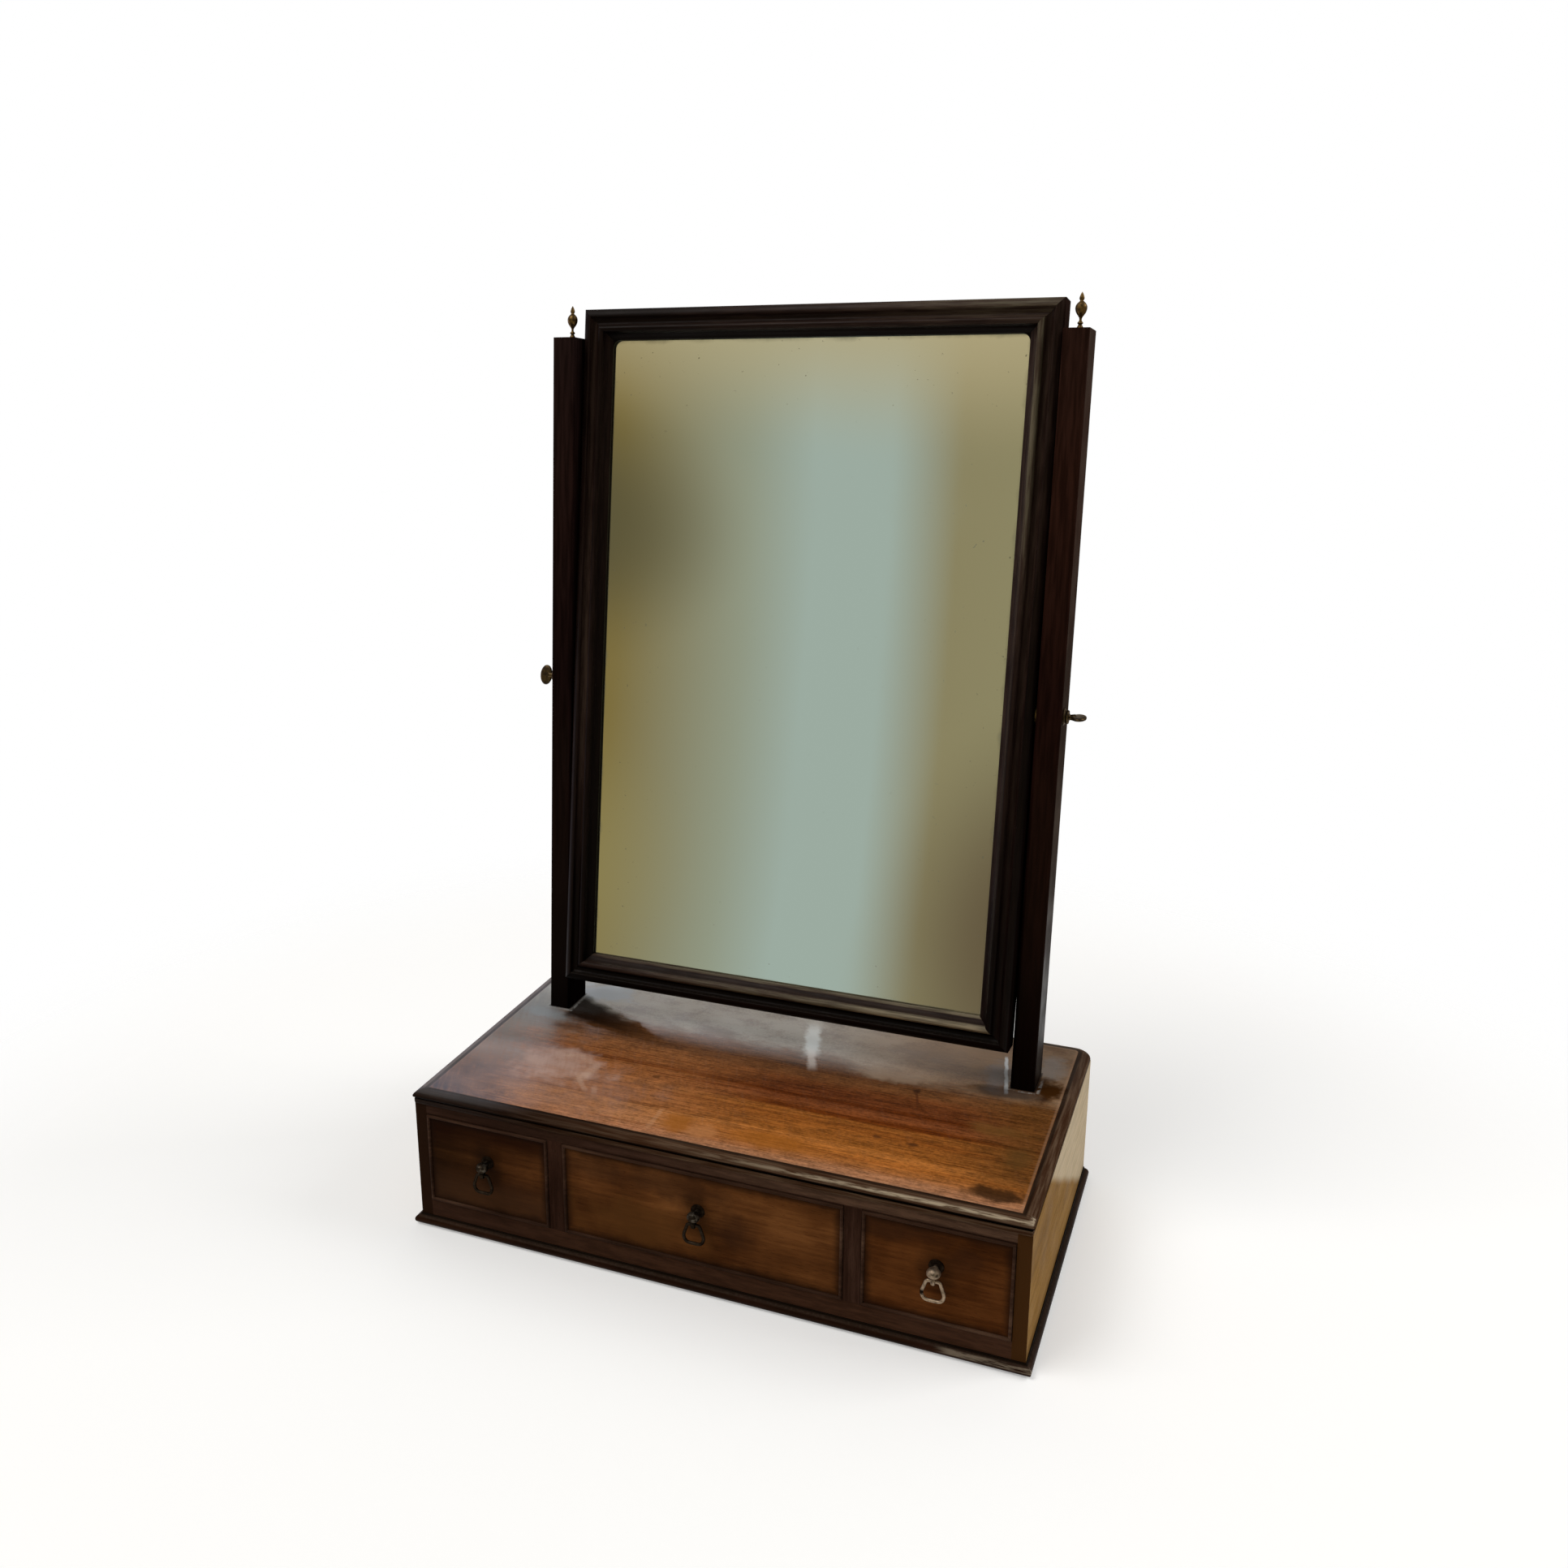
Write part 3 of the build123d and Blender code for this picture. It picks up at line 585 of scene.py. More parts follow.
    def ramp(self, value: Field, stops: Sequence[tuple[float, Colour]]) -> Socket:
        """Reads a value off a scale of colours.

        Args:
            value: Place on the scale, from 0 to 1.
            stops: Places and colours of the scale.

        Returns:
            The colour.
        """
        made = self.node("ShaderNodeValToRGB", value)
        elements = made.color_ramp.elements
        while len(elements) < len(stops):
            elements.new(0.5)
        for element, (place, colour) in zip(elements, stops):
            element.position = place
            element.color = (*colour, 1.0)
        return made.outputs[0]

    def bands(self, place: Field, stops: Bands) -> Socket:
        """Returns the colour of a scale whose stops are given in millimetres."""
        first, last = stops[0][0], stops[-1][0]
        scale = [((at - first) / (last - first), colour) for at, colour in stops]
        return self.ramp(place.span(first, last, course="LINEAR"), scale)

    def mix(self, share: object, first: object, second: object, blend: str = "MIX") -> Socket:
        """Mixes two colours.

        Args:
            share: Share of the second one.
            first: The first colour.
            second: The second colour.
            blend: Blender's name of the rule.

        Returns:
            The mixed colour.
        """
        made = self.node("ShaderNodeMix", data_type="RGBA", blend_type=blend)
        for number, value in ((0, share), (6, first), (7, second)):
            self.feed(made.inputs[number], value)
        return made.outputs[2]

    def surface(self, colour: object, roughness: Value, height: Field | None = None,
                bump: float = 0.0, **constants: object) -> bpy.types.Material:
        """Ends the tree in a principled shader.

        Args:
            colour: Base colour.
            roughness: Roughness.
            height: Relief for the bump, in millimetres.
            bump: Strength of the bump.
            constants: Other inputs of the shader, by name with _ for a space.

        Returns:
            The material.
        """
        shader = self.node("ShaderNodeBsdfPrincipled")
        for name, value in {"Base_Color": colour, "Roughness": roughness, **constants}.items():
            self.feed(shader.inputs[name.replace("_", " ")], value)
        if height is not None:
            raised = self.node("ShaderNodeBump", bump, MM)
            self.feed(raised.inputs["Height"], height)
            self.feed(shader.inputs["Normal"], raised.outputs[0])
        self.node("ShaderNodeOutputMaterial", shader.outputs[0])
        return self.owner


class Paint:
    """Colour and roughness of a surface, to which layers are added one after the other."""

    def __init__(self, graph: Graph, colour: Socket) -> None:
        """Starts with a ground colour."""
        self.graph, self.colour, self.roughness = graph, colour, 0.5

    def lay(self, mask: Value, shade: object) -> None:
        """Lays a shade over the colour where the mask says."""
        self.colour = self.graph.mix(mask, self.colour, shade)

    def shade(self, factor: object, mask: Value = 1.0) -> None:
        """Multiplies the colour by a factor where the mask says."""
        self.colour = self.graph.mix(mask, self.colour, factor, "MULTIPLY")

    def spots(self, level: float, rows: Spots, ragged: float = 0.25) -> None:
        """Lays spots on a level face.

        Args:
            level: Height of the face.
            rows: Centre, radii, share and shade of each spot.
            ragged: How uneven their rims are.
        """
        for centre, radii, share, shade in rows:
            self.lay(share * self.graph.spot((*centre, level), (*radii, 20), ragged), shade)

    def streaks(self, rows: Lines, mask: Value = 1.0) -> None:
        """Lays streaks.

        Args:
            rows: Start, end, half width, share and shade of each streak.
            mask: Where they show.
        """
        for start, end, half, share, shade in rows:
            self.lay(share * self.graph.streak(start, end, half) * mask, shade)


class Grain(Enum):
    """Direction of the wood's grain, as the share of a pattern's fineness that is left on each axis."""

    ALONG_X = (0.07, 1.0, 1.0)
    ALONG_Y = (1.0, 0.07, 1.0)
    ALONG_Z = (1.0, 1.0, 0.07)

    def waves(self, fineness: float) -> tuple[float, float, float]:
        """Returns the waves for each millimetre on each axis."""
        x, y, z = self.value
        return fineness * x, fineness * y, fineness * z


@dataclass(frozen=True)
class Wood:
    """Plain polished wood: a broad figure, streaks and cloudy patches, with open pores."""

    name: str
    dark: Colour = (0.0, 0.0, 0.0)
    middle: Colour = (0.0, 0.0, 0.0)
    light: Colour = (0.0, 0.0, 0.0)
    grain: Grain = Grain.ALONG_X
    lean: float = 0.0
    shift: float = 0.0
    shares: tuple[float, float, float] = (0.5, 0.28, 0.22)
    pores: float = 0.5
    roughness: float = 0.4
    specular: float = 0.13
    glint: Colour = (1.0, 0.62, 0.42)
    bump: float = 0.35
    fade: tuple[float, float, float, float] = (-230.0, 230.0, 1.0, 1.0)

    def along(self, grain: Grain) -> "Wood":
        """Returns the same wood with its grain in another direction."""
        return replace(self, name=self.name + "_" + grain.name.lower(), grain=grain)

    def ground(self, graph: Graph, vector: Socket) -> Socket:
        """Colours the bare wood by its figure, streaks and patches.

        Args:
            graph: Node tree of the finish.
            vector: Place along the wood's own directions.

        Returns:
            The colour.
        """
        figure = graph.noise(self.grain.waves(0.045), 4.0, vector=vector, bend=0.4, shift=self.shift)
        streaks = graph.noise(self.grain.waves(0.4), vector=vector, shift=self.shift + 3)
        patches = graph.noise(0.014, vector=vector, shift=self.shift + 7)
        summed = sum(part * share for part, share in zip((figure, streaks, patches), self.shares))
        return graph.ramp(summed.span(0.3, 0.7), [(0.1, self.dark), (0.5, self.middle), (0.92, self.light)])

    def weathered(self, graph: Graph, paint: Paint) -> None:
        """Adds rubbed places, dust and dirt, and in some woods painted light and shade. Plain wood has none.

        Args:
            graph: Node tree of the finish.
            paint: Colour and roughness that the layers are added to.
        """

    def gloss(self, graph: Graph) -> Value:
        """Returns the strength of the reflection. Plain wood has the same everywhere."""
        return self.specular

    def make(self) -> bpy.types.Material:
        """Returns the material."""
        graph = Graph(bpy.data.materials.new(self.name))
        vector = graph.leant(graph.place, self.lean) if self.lean else graph.place
        paint = Paint(graph, self.ground(graph, vector))
        pore = graph.noise(self.grain.waves(2.4), 1.0, vector=vector, shift=self.shift).span(0.6, 0.72)
        paint.shade((0.3, 0.25, 0.22), self.pores * pore)
        # Multiplies the colour by a factor that changes from left to right across the object
        start, end, *shares = self.fade
        paint.shade(graph.axes[0].span(start, end, tuple(shares)))
        smudges = graph.noise(0.03, shift=self.shift + 11)
        paint.roughness = smudges.span(0.3, 0.7, (self.roughness - 0.07, self.roughness + 0.09))
        self.weathered(graph, paint)
        fine = graph.noise(self.grain.waves(1.1), 2.0, vector=vector, shift=self.shift)
        return graph.surface(paint.colour, paint.roughness, 0.03 * fine - 0.05 * pore, self.bump,
                             Specular_IOR_Level=self.gloss(graph), Specular_Tint=self.glint)


@dataclass(frozen=True)
class TopWood(Wood):
    """Faded wood of the top: ochre in front, red-brown lines behind, dusty at the left and the back with painted
    sheen there, and with painted shadows by the posts.
    """

    bands: Bands = (
        (-124, (0.35, 0.155, 0.080)), (-108, (0.36, 0.160, 0.075)), (-100, (0.34, 0.122, 0.033)),
        (-90, (0.345, 0.113, 0.021)), (-80, (0.39, 0.137, 0.029)), (-76, (0.27, 0.090, 0.016)),
        (-67, (0.265, 0.087, 0.016)), (-57, (0.255, 0.080, 0.014)), (-54, (0.185, 0.056, 0.010)),
        (-51, (0.26, 0.086, 0.016)), (-44.5, (0.235, 0.076, 0.014)), (-41.5, (0.125, 0.029, 0.004)),
        (-38.5, (0.120, 0.028, 0.004)), (-36, (0.165, 0.046, 0.012)), (-30, (0.175, 0.052, 0.016)),
        (-25, (0.150, 0.042, 0.012)), (-23, (0.095, 0.022, 0.004)), (-20, (0.095, 0.022, 0.004)),
        (-17.5, (0.130, 0.036, 0.010)), (-8, (0.105, 0.029, 0.008)), (0, (0.145, 0.044, 0.012)),
        (10, (0.150, 0.056, 0.018)), (24, (0.115, 0.046, 0.016)), (134, (0.10, 0.045, 0.02)))
    faded: Bands = (
        (-124, (0.36, 0.155, 0.085)), (-100, (0.39, 0.165, 0.066)), (-80, (0.38, 0.155, 0.056)),
        (-76, (0.25, 0.090, 0.030)), (-71, (0.33, 0.126, 0.045)), (-50, (0.32, 0.122, 0.042)),
        (-36, (0.31, 0.113, 0.037)), (-24.5, (0.27, 0.095, 0.028)), (-21.5, (0.150, 0.044, 0.010)),
        (-18, (0.24, 0.082, 0.024)), (-8, (0.255, 0.093, 0.029)), (4, (0.255, 0.097, 0.032)),
        (14, (0.150, 0.060, 0.022)), (134, (0.10, 0.045, 0.02)))
    # Dust along the left edge, by place from front to back, its blue-grey tints painted sheen
    edge_dust_and_sheen: Bands = (
        (-124, (0.058, 0.057, 0.083)), (-85, (0.068, 0.062, 0.082)), (-62, (0.145, 0.120, 0.125)),
        (-40, (0.31, 0.270, 0.265)), (-15, (0.185, 0.150, 0.135)), (10, (0.23, 0.205, 0.185)),
        (33, (0.23, 0.24, 0.245)), (60, (0.30, 0.30, 0.30)), (134, (0.30, 0.30, 0.29)))
    faded_spots: Spots = (
        ((-27, -93), (15, 19), 0.75, (0.33, 0.108, 0.0155)), ((44, -92), (42, 15), 0.6, (0.32, 0.102, 0.012)),
        ((120, 15), (4, 4), 0.85, (0.035, 0.012, 0.005)), ((136, -60), (6, 3), 0.8, (0.06, 0.02, 0.006)),
        ((110, -59), (4, 2.5), 0.7, (0.07, 0.022, 0.007)), ((-68, -36), (4, 3), 0.7, (0.08, 0.03, 0.01)),
        ((-6, -97), (15, 14), 0.6, (0.47, 0.195, 0.072)), ((206, -52), (13, 20), 0.6, (0.10, 0.048, 0.013)))
    scratches: Lines = (
        ((120, 13), (126, -6), 1.6, 0.6, (0.06, 0.016, 0.005)),
        ((-44, -78), (-44, -108), 2.6, 0.4, (0.48, 0.25, 0.13)))
    # Spots over the dust: dark stains and patches, and pale blue-grey and cream patches that are painted sheen
    stains_and_sheen: Spots = (
        ((-197, 33), (24, 13), 0.6, (0.27, 0.30, 0.32)), ((-166, 86), (34, 22), 0.8, (0.45, 0.50, 0.55)),
        ((99, 31), (34, 12), 0.6, (0.32, 0.22, 0.145)), ((206, 90), (14, 26), 0.45, (0.26, 0.26, 0.26)),
        ((200, -99), (30, 13), 0.9, (0.034, 0.014, 0.005)), ((184, -20), (30, 12), 0.5, (0.17, 0.078, 0.02)),
        ((209, 50), (19, 24), 1.0, (0.040, 0.014, 0.003)), ((172, 62), (15, 32), 0.5, (0.20, 0.20, 0.215)),
        ((-52, 50), (22, 10), 0.55, (0.14, 0.085, 0.055)), ((120, 78), (40, 16), 0.4, (0.20, 0.135, 0.09)))
    # Pale streaks painted as reflections on the polish: two behind the middle, and a thin line along the left edge
    # of the right post's foot
    painted_reflections: Lines = (
        ((38, 19), (26, 54), 5.0, 0.75, (0.53, 0.46, 0.42)), ((30, 42), (16, 94), 8.5, 0.85, (0.90, 0.95, 0.95)),
        ((171, 94), (181.5, 35), 1.9, 0.9, (0.66, 0.69, 0.72)))
    wiped: Lines = tuple((*ends, half, share, (0.60, 0.40, 0.30)) for *ends, half, share in (
        ((-136, -26), (-118, -36), 5.0, 0.5), ((-117, -36), (-121, -66), 5.5, 0.5),
        ((-128, -52), (-108, -76), 3.0, 0.35), ((-150, -30), (-134, -27), 4.0, 0.4),
        ((-106, -66), (-100, -78), 3.0, 0.3)))
    low: tuple[float, float] = TOP_LOW
    high: tuple[float, float] = TOP_HIGH
    back_radius: float = TOP_CORNER
    shoulder: float = TOP_SHOULDER
    top: float = TOP_FACE
    quirk: tuple[float, float] = (107.4, 109.0)
    foot: tuple[float, float] = (191.4, 61.0)
    foot_half: tuple[float, float] = (8.8, 15.5)

    def ground(self, graph: Graph, vector: Socket) -> Socket:
        """Returns bands of colour that run along the board and wander like a drawn-out figure."""
        x, y, _ = graph.axes
        drift = graph.noise((0.004, 0.02, 0.02), shift=1.0)
        place = y + 9.0 * drift + 9.0 * graph.noise((0.010, 0.10, 0.10), shift=2.0) - 9.0
        left = (x + 120.0 * drift).span(95.0, -15.0)
        paint = Paint(graph, graph.mix(left, graph.bands(place, self.bands), graph.bands(place, self.faded)))
        right = x.span(150.0, 212.0) * y.span(-104.0, -76.0) * y.span(60.0, 20.0)
        paint.lay(0.85 * right, (0.120, 0.046, 0.011))
        fine = graph.noise((0.035, 0.9, 0.9), 4.0, 0.65, shift=3.0)
        mottle = graph.noise((0.07, 0.16, 0.16), 4.0, 0.65, shift=5.0)
        grit = graph.noise((0.35, 0.5, 0.5), 4.0, 0.75, shift=6.0)
        paint.shade((0.42 * fine + 0.25 * mottle + 0.33 * grit).span(0.37, 0.63, (0.52, 1.52)))
        paint.shade((0.62, 0.50, 0.42), 0.6 * graph.noise((0.007, 0.5, 0.5), 1.0, shift=9.0).span(0.52, 0.72))
        strokes = self.strokes(graph).span(0.50, 0.85) * x.span(60.0, -120.0, (0.25, 1.0))
        paint.lay(0.10 * strokes, (0.42, 0.30, 0.24))
        return paint.colour

    def strokes(self, graph: Graph) -> Field:
        """Returns fine strokes slantwise over the grain, as a cloth leaves them."""
        aslant = graph.node("ShaderNodeMapping", graph.place, None, (0.0, 0.0, radians(-22.0))).outputs[0]
        return graph.noise((0.30, 0.035, 0.035), 4.0, vector=aslant, bend=1.4, shift=21.0)

    def inset(self, graph: Graph) -> Field:
        """Returns the distance in from the board's outline, with its back corners rounded."""
        x, y, _ = graph.axes
        out_x = (abs(x) - (self.high[0] - self.back_radius)) | 0.0
        out_y = (y - (self.high[1] - self.back_radius)) | 0.0
        return (self.back_radius - graph.distance(out_x, out_y)) & (y - self.low[1])

    def pale_film(self, graph: Graph, paint: Paint) -> Field:
        """Lays the dust of the rear and the left edge, painted pale with the sheen seen there, and the bloom, and
        returns the mask of the rear and the left edge.
        """
        x, y, _ = graph.axes
        strokes = self.strokes(graph)
        drift = graph.noise((0.03, 0.06, 0.06), 5.0, 0.65, shift=4.0)
        clouds = graph.noise((0.035, 0.06, 0.06), 4.0, shift=8.0)
        patchy = (0.40 * graph.noise(0.4, 5.0, 0.8, shift=6.0) + 0.60 * clouds).span(0.36, 0.58, (0.42, 1.0))
        rear = (y + 34.0 * drift + x.span(40.0, 90.0, (0.0, 16.0)) - 17.0).span(34.0, 58.0)
        rear = 0.86 * rear * x.span(215.0, 60.0, (0.5, 1.0)) * patchy
        left = (x + 0.08 * y - 110.0 * drift + 55.0).span(-138.0, -216.0) * strokes.span(0.30, 0.62, (0.72, 0.98))
        # The rear dust, painted pale enough to hold part of the sheen as well
        paint.lay(rear, graph.mix(x.span(0.0, 130.0), (0.55, 0.53, 0.48), (0.40, 0.27, 0.165)))
        # The left edge's dust, with painted sheen in its blue-grey tints
        paint.lay(left, graph.bands(y, self.edge_dust_and_sheen))
        cloth = (0.35 * strokes + 0.65 * clouds).span(0.34, 0.62, (0.45, 0.90))
        haze = graph.spot((-150, -72, self.top), (110, 62, 20), 0.35, 0.03)
        paint.lay(0.55 * haze * cloth, (0.32, 0.185, 0.145))
        bloom = graph.spot((-146, -46, self.top), (46, 36, 20), 0.45, 0.05)
        paint.lay(0.9 * bloom * cloth, (0.50, 0.325, 0.265))
        paint.streaks(self.wiped, patchy)
        return rear | left

    def foot_distance(self, graph: Graph) -> Field:
        """Returns the distance out from the nearer post's foot."""
        x, y, _ = graph.axes
        return (abs(abs(x) - self.foot[0]) - self.foot_half[0]) | (abs(y - self.foot[1]) - self.foot_half[1])

    def painted_post_shadows(self, graph: Graph) -> Field:
        """Returns the painted shade on the top: a dark wedge from the left post's foot towards the middle, and a
        dark patch in front of the right post's foot.
        """
        x, y, _ = graph.axes
        fray = graph.noise(0.07, 4.0, shift=31.0)
        over = (14.0 * fray - 0.50 * x - y - 24.0).span(-6.0, 9.0)
        under = (0.21 * x + y + 8.0 * fray + 2.0).span(-6.0, 8.0)
        wedge = over * under * x.span(-186.0, -178.0) * x.span(-60.0, -140.0)
        return wedge | (0.85 * graph.spot((180, 37, self.top), (38, 11, 20), 0.2, 0.05))

    def weathered(self, graph: Graph, paint: Paint) -> None:
        """Lays stained spots, dust with painted sheen, painted reflections, painted shade round the posts, a
        painted highlight on the arris and the moulded edge over the wood.
        """
        x, y, _ = graph.axes
        paint.spots(self.top, self.faded_spots)
        paint.streaks(self.scratches)
        # Mask of the rear and left dust, which also carries painted sheen
        dust = self.pale_film(graph, paint)
        # Stains, with pale patches of painted sheen
        paint.spots(self.top, self.stains_and_sheen, ragged=0.35)
        # Painted reflections: pale streaks
        paint.streaks(self.painted_reflections)
        # Tones of the painted shadows: near black by the left post, brown further out, greyer in front of the right
        # post
        shadow_tone = graph.mix(x.span(-165.0, -95.0), (0.007, 0.0035, 0.002), (0.045, 0.018, 0.007))
        shadow_tone = graph.mix(x.span(99.0, 101.0), shadow_tone, (0.040, 0.028, 0.023))
        paint.lay(0.94 * self.painted_post_shadows(graph), shadow_tone)
        beside = self.foot_distance(graph)
        # Painted shade in a thin dark rim round the posts' feet, and a pale rim a few millimetres out, towards the
        # front
        paint.lay(0.8 * beside.span(1.6, 0.6), (0.02, 0.015, 0.012))
        pale = beside.span(1.2, 2.0) * beside.span(4.4, 2.8) * y.span(72.0, 56.0)
        paint.lay(0.5 * pale * graph.noise(0.2, shift=17.0).span(0.4, 0.6), (0.36, 0.36, 0.35))
        inset = self.inset(graph)
        # Painted highlight: a pale line along the arris where the face meets the shoulder, stronger towards the
        # right
        arris = inset.span(self.shoulder - 0.2, self.shoulder + 0.3) * inset.span(self.shoulder + 2.4,
                                                                                 self.shoulder + 1.0)
        paint.lay(arris * x.span(-150.0, 120.0, (0.10, 0.28)), (0.36, 0.21, 0.13))
        self.moulded(graph, paint, inset)
        paint.roughness += 0.30 * dust

    def moulded(self, graph: Graph, paint: Paint, inset: Field) -> None:
        """Lays the dark moulded edge, painted shade and dirt in its step and its quirk, and a rubbed band on its
        bead with a painted highlight.
        """
        x, y, z = graph.axes
        flank = abs(x).span(219.0, 221.0) * y.span(-118.0, -112.0)
        streaks = graph.noise((0.03, 0.8, 0.8), 4.0, shift=12.0)
        streaks = streaks + 0.9 * flank * (graph.noise((0.6, 0.03, 0.6), shift=14.0) - streaks)
        brown = graph.mix(x.span(-190.0, -20.0), (0.010, 0.004, 0.002), (0.045, 0.019, 0.009))
        light = graph.mix(x.span(-190.0, 40.0), (0.035, 0.020, 0.014), (0.14, 0.088, 0.055))
        edge = Paint(graph, graph.mix(0.75 * streaks.span(0.36, 0.72), brown, light))
        edge.lay(flank * x.span(1.0, -1.0), (0.13, 0.105, 0.100))
        # Painted shade and dirt: a dark band on the upper shoulder just below its small step
        edge.lay(0.75 * inset.span(self.shoulder - 3.6, self.shoulder - 2.2), (0.010, 0.005, 0.003))
        paint.lay(inset.span(self.shoulder + 0.1, self.shoulder - 0.3), edge.colour)
        low, high = self.quirk
        # Painted shade and dirt in the quirk under the bead, weaker at the left
        groove = z.span(low - 0.3, low) * z.span(high + 1.4, high + 0.5) * x.span(-160.0, 60.0, (0.8, 1.0))
        paint.lay(groove, (0.004, 0.002, 0.0012))
        broken = graph.noise((0.07, 0.7, 0.7), 4.0, shift=15.0).span(0.34, 0.56)
        # The bead's pale band, part rubbing and part painted highlight, from the middle towards the right
        worn_and_lit = z.span(110.9, 111.8) * z.span(113.2, 112.4) * y.span(-113.0, -116.0) * x.span(-40.0, 160.0) * broken
        paint.lay(0.85 * worn_and_lit, (0.46, 0.37, 0.26))
        # Painted highlight: a pale line along the lower arris of the band
        foot = z.span(104.4, 103.6) * y.span(-121.0, -122.0) * x.span(-150.0, 150.0)
        paint.lay(0.6 * foot, (0.10, 0.066, 0.045))

    def gloss(self, graph: Graph) -> Value:
        """Returns the sheen, which is left at the back and along the left edge, but not on the painted post
        shadows.
        """
        x, y, z = graph.axes
        shiny = y.span(12.0, 62.0) * x.span(205.0, 60.0, (0.25, 1.0)) | x.span(-115.0, -215.0)
        clean = self.painted_post_shadows(graph).span(0.0, 0.4, (1.0, 0.0))
        clean = clean * graph.spot((209, 50, self.top), (19, 24, 20)).span(0.0, 0.5, (1.0, 0.0))
        return self.specular * shiny.span(0.0, 1.0, (0.008, 1.0)) * clean * z.span(111.5, 113.4, (0.10, 1.0))


@dataclass(frozen=True)
class SideWood(Wood):
    """Faded sides of the case: ochre, with a painted pale reflection over the upper rear of the right side, dark in
    front.
    """

    front: float = -121.3
    edge: Colour = (0.022, 0.0095, 0.005)

    def weathered(self, graph: Graph, paint: Paint) -> None:
        """Paints a pale reflection over the upper rear of the right side, and darkens the foot and the front edges.
        """
        x, y, z = graph.axes
        # Painted reflection: pale over the upper rear of the right side, above a slanting line
        line = 0.574 * y + z + 6.0 * graph.noise(0.03, 2.0, shift=3.0) - 3.0
        grain = graph.noise(self.grain.waves(0.5), 4.0, shift=5.0).span(0.34, 0.66, (0.86, 1.10))
        paint.lay(0.9 * line.span(70.0, 79.0) * x.span(100.0, 101.0),
                  graph.mix(1.0, (0.57, 0.46, 0.31), grain, "MULTIPLY"))
        paint.lay(0.35 * z.span(22.0, 8.0), (0.09, 0.045, 0.018))
        edge = graph.mix(x.span(-1.0, 1.0), self.edge, (0.060, 0.024, 0.007))
        paint.lay(y.span(self.front + 0.2, self.front), edge)


@dataclass(frozen=True)
class NailedWood(Wood):
    """Bare board with rows of nails, their heads set flush and stained by rust."""

    rows: tuple[float, float] = (14.0, 98.0)
    pitch: float = 61.0
    face: float = 134.0

    def weathered(self, graph: Graph, paint: Paint) -> None:
        """Adds the heads: a place is as far from a nail as from the nearest row and column."""
        x, y, z = graph.axes
        column = self.pitch / 2 - (x + self.pitch / 2).math("PINGPONG", self.pitch / 2)
        low, high = (abs(z - level) for level in self.rows)
        away = graph.distance(column, low & high)
        behind = y.span(self.face, self.face + 0.2)
        rust = away + 5.0 * graph.noise(0.3) - 2.5
        paint.lay(0.75 * behind * rust.span(6.0, 1.5), (0.07, 0.03, 0.015))
        paint.lay(behind * away.span(2.0, 1.7), (0.035, 0.028, 0.024))


@dataclass(frozen=True)
class CaseWood(Wood):
    """Wood of the rails and partitions, paler over the drawers towards the right and along the lower rail."""

    def weathered(self, graph: Graph, paint: Paint) -> None:
        """Lightens the upper rail towards the right and the lower rail everywhere, and leaves the partitions."""
        x, _, z = graph.axes
        over = z.span(95.5, 97.0) * x.span(-60.0, 80.0, (0.08, 0.85))
        under = z.span(22.8, 21.5) * x.span(-200.0, -60.0, (0.35, 0.75))
        streaks = graph.noise((0.05, 0.4, 0.4), 4.0, 0.65, shift=19.0).span(0.35, 0.65, (0.72, 1.30))
        pale = graph.mix(z.span(50.0, 51.0), (0.060, 0.026, 0.014), (0.100, 0.054, 0.034))
        paint.lay(over | under, graph.mix(1.0, pale, streaks, "MULTIPLY"))


@dataclass(frozen=True)
class DrawerWood(Wood):
    """Mottled wood of the drawer fronts, darker near the cock beads and round the pulls."""

    centres: tuple[float, ...] = (-168.5, 0.0, 168.5)
    halves: tuple[float, ...] = (50.6, 105.1, 50.6)
    low: float = DRAWER_LOW
    high: float = DRAWER_HIGH
    face: float = -121.0
    pull_z: float = 63.0
    clouds: tuple[tuple[float, ...], ...] = (
        (-86, 84, 52, 15, 0.55), (-22, 80, 64, 17, 0.60), (28, 56, 22, 22, 0.6), (140, 88, 46, 13, 0.6),
        (186, 74, 16, 14, 0.4))

    def weathered(self, graph: Graph, paint: Paint) -> None:
        """Darkens the rim inside the beads and a ring round each pull, and warms the lower part."""
        x, _, z = graph.axes
        paint.lay(0.55 * graph.spot((-50, self.face, 42), (75, 40, 26), 0.4, 0.03), (0.130, 0.051, 0.013))
        paint.shade((0.66, 0.58, 0.50), x.span(105.0, 135.0))
        left = x.span(-112.0, -116.0)
        paint.lay(0.55 * left * z.span(60.0, 36.0), (0.064, 0.028, 0.013))
        paint.lay(0.8 * left * z.span(66.0, 90.0), (0.012, 0.0025, 0.0008))
        for across, up, half, rise, share in self.clouds:
            cloud = graph.spot((across, self.face, up), (half, 40, rise), 0.3, 0.04)
            paint.lay(share * cloud, (0.034, 0.013, 0.006))
        rim = (half - abs(x - centre) for centre, half in zip(self.centres, self.halves))
        rim = (z - self.low) & (self.high - z) & reduce(or_, rim)
        paint.lay(0.7 * (rim - 7.0 * graph.noise(0.06, shift=5.0)).span(5.0, -1.5), (0.012, 0.005, 0.003))
        rings = (graph.spot((centre, self.face, self.pull_z), (17, 30, 21), 0.2) for centre in self.centres)
        paint.lay(0.5 * reduce(or_, rings), (0.014, 0.006, 0.003))


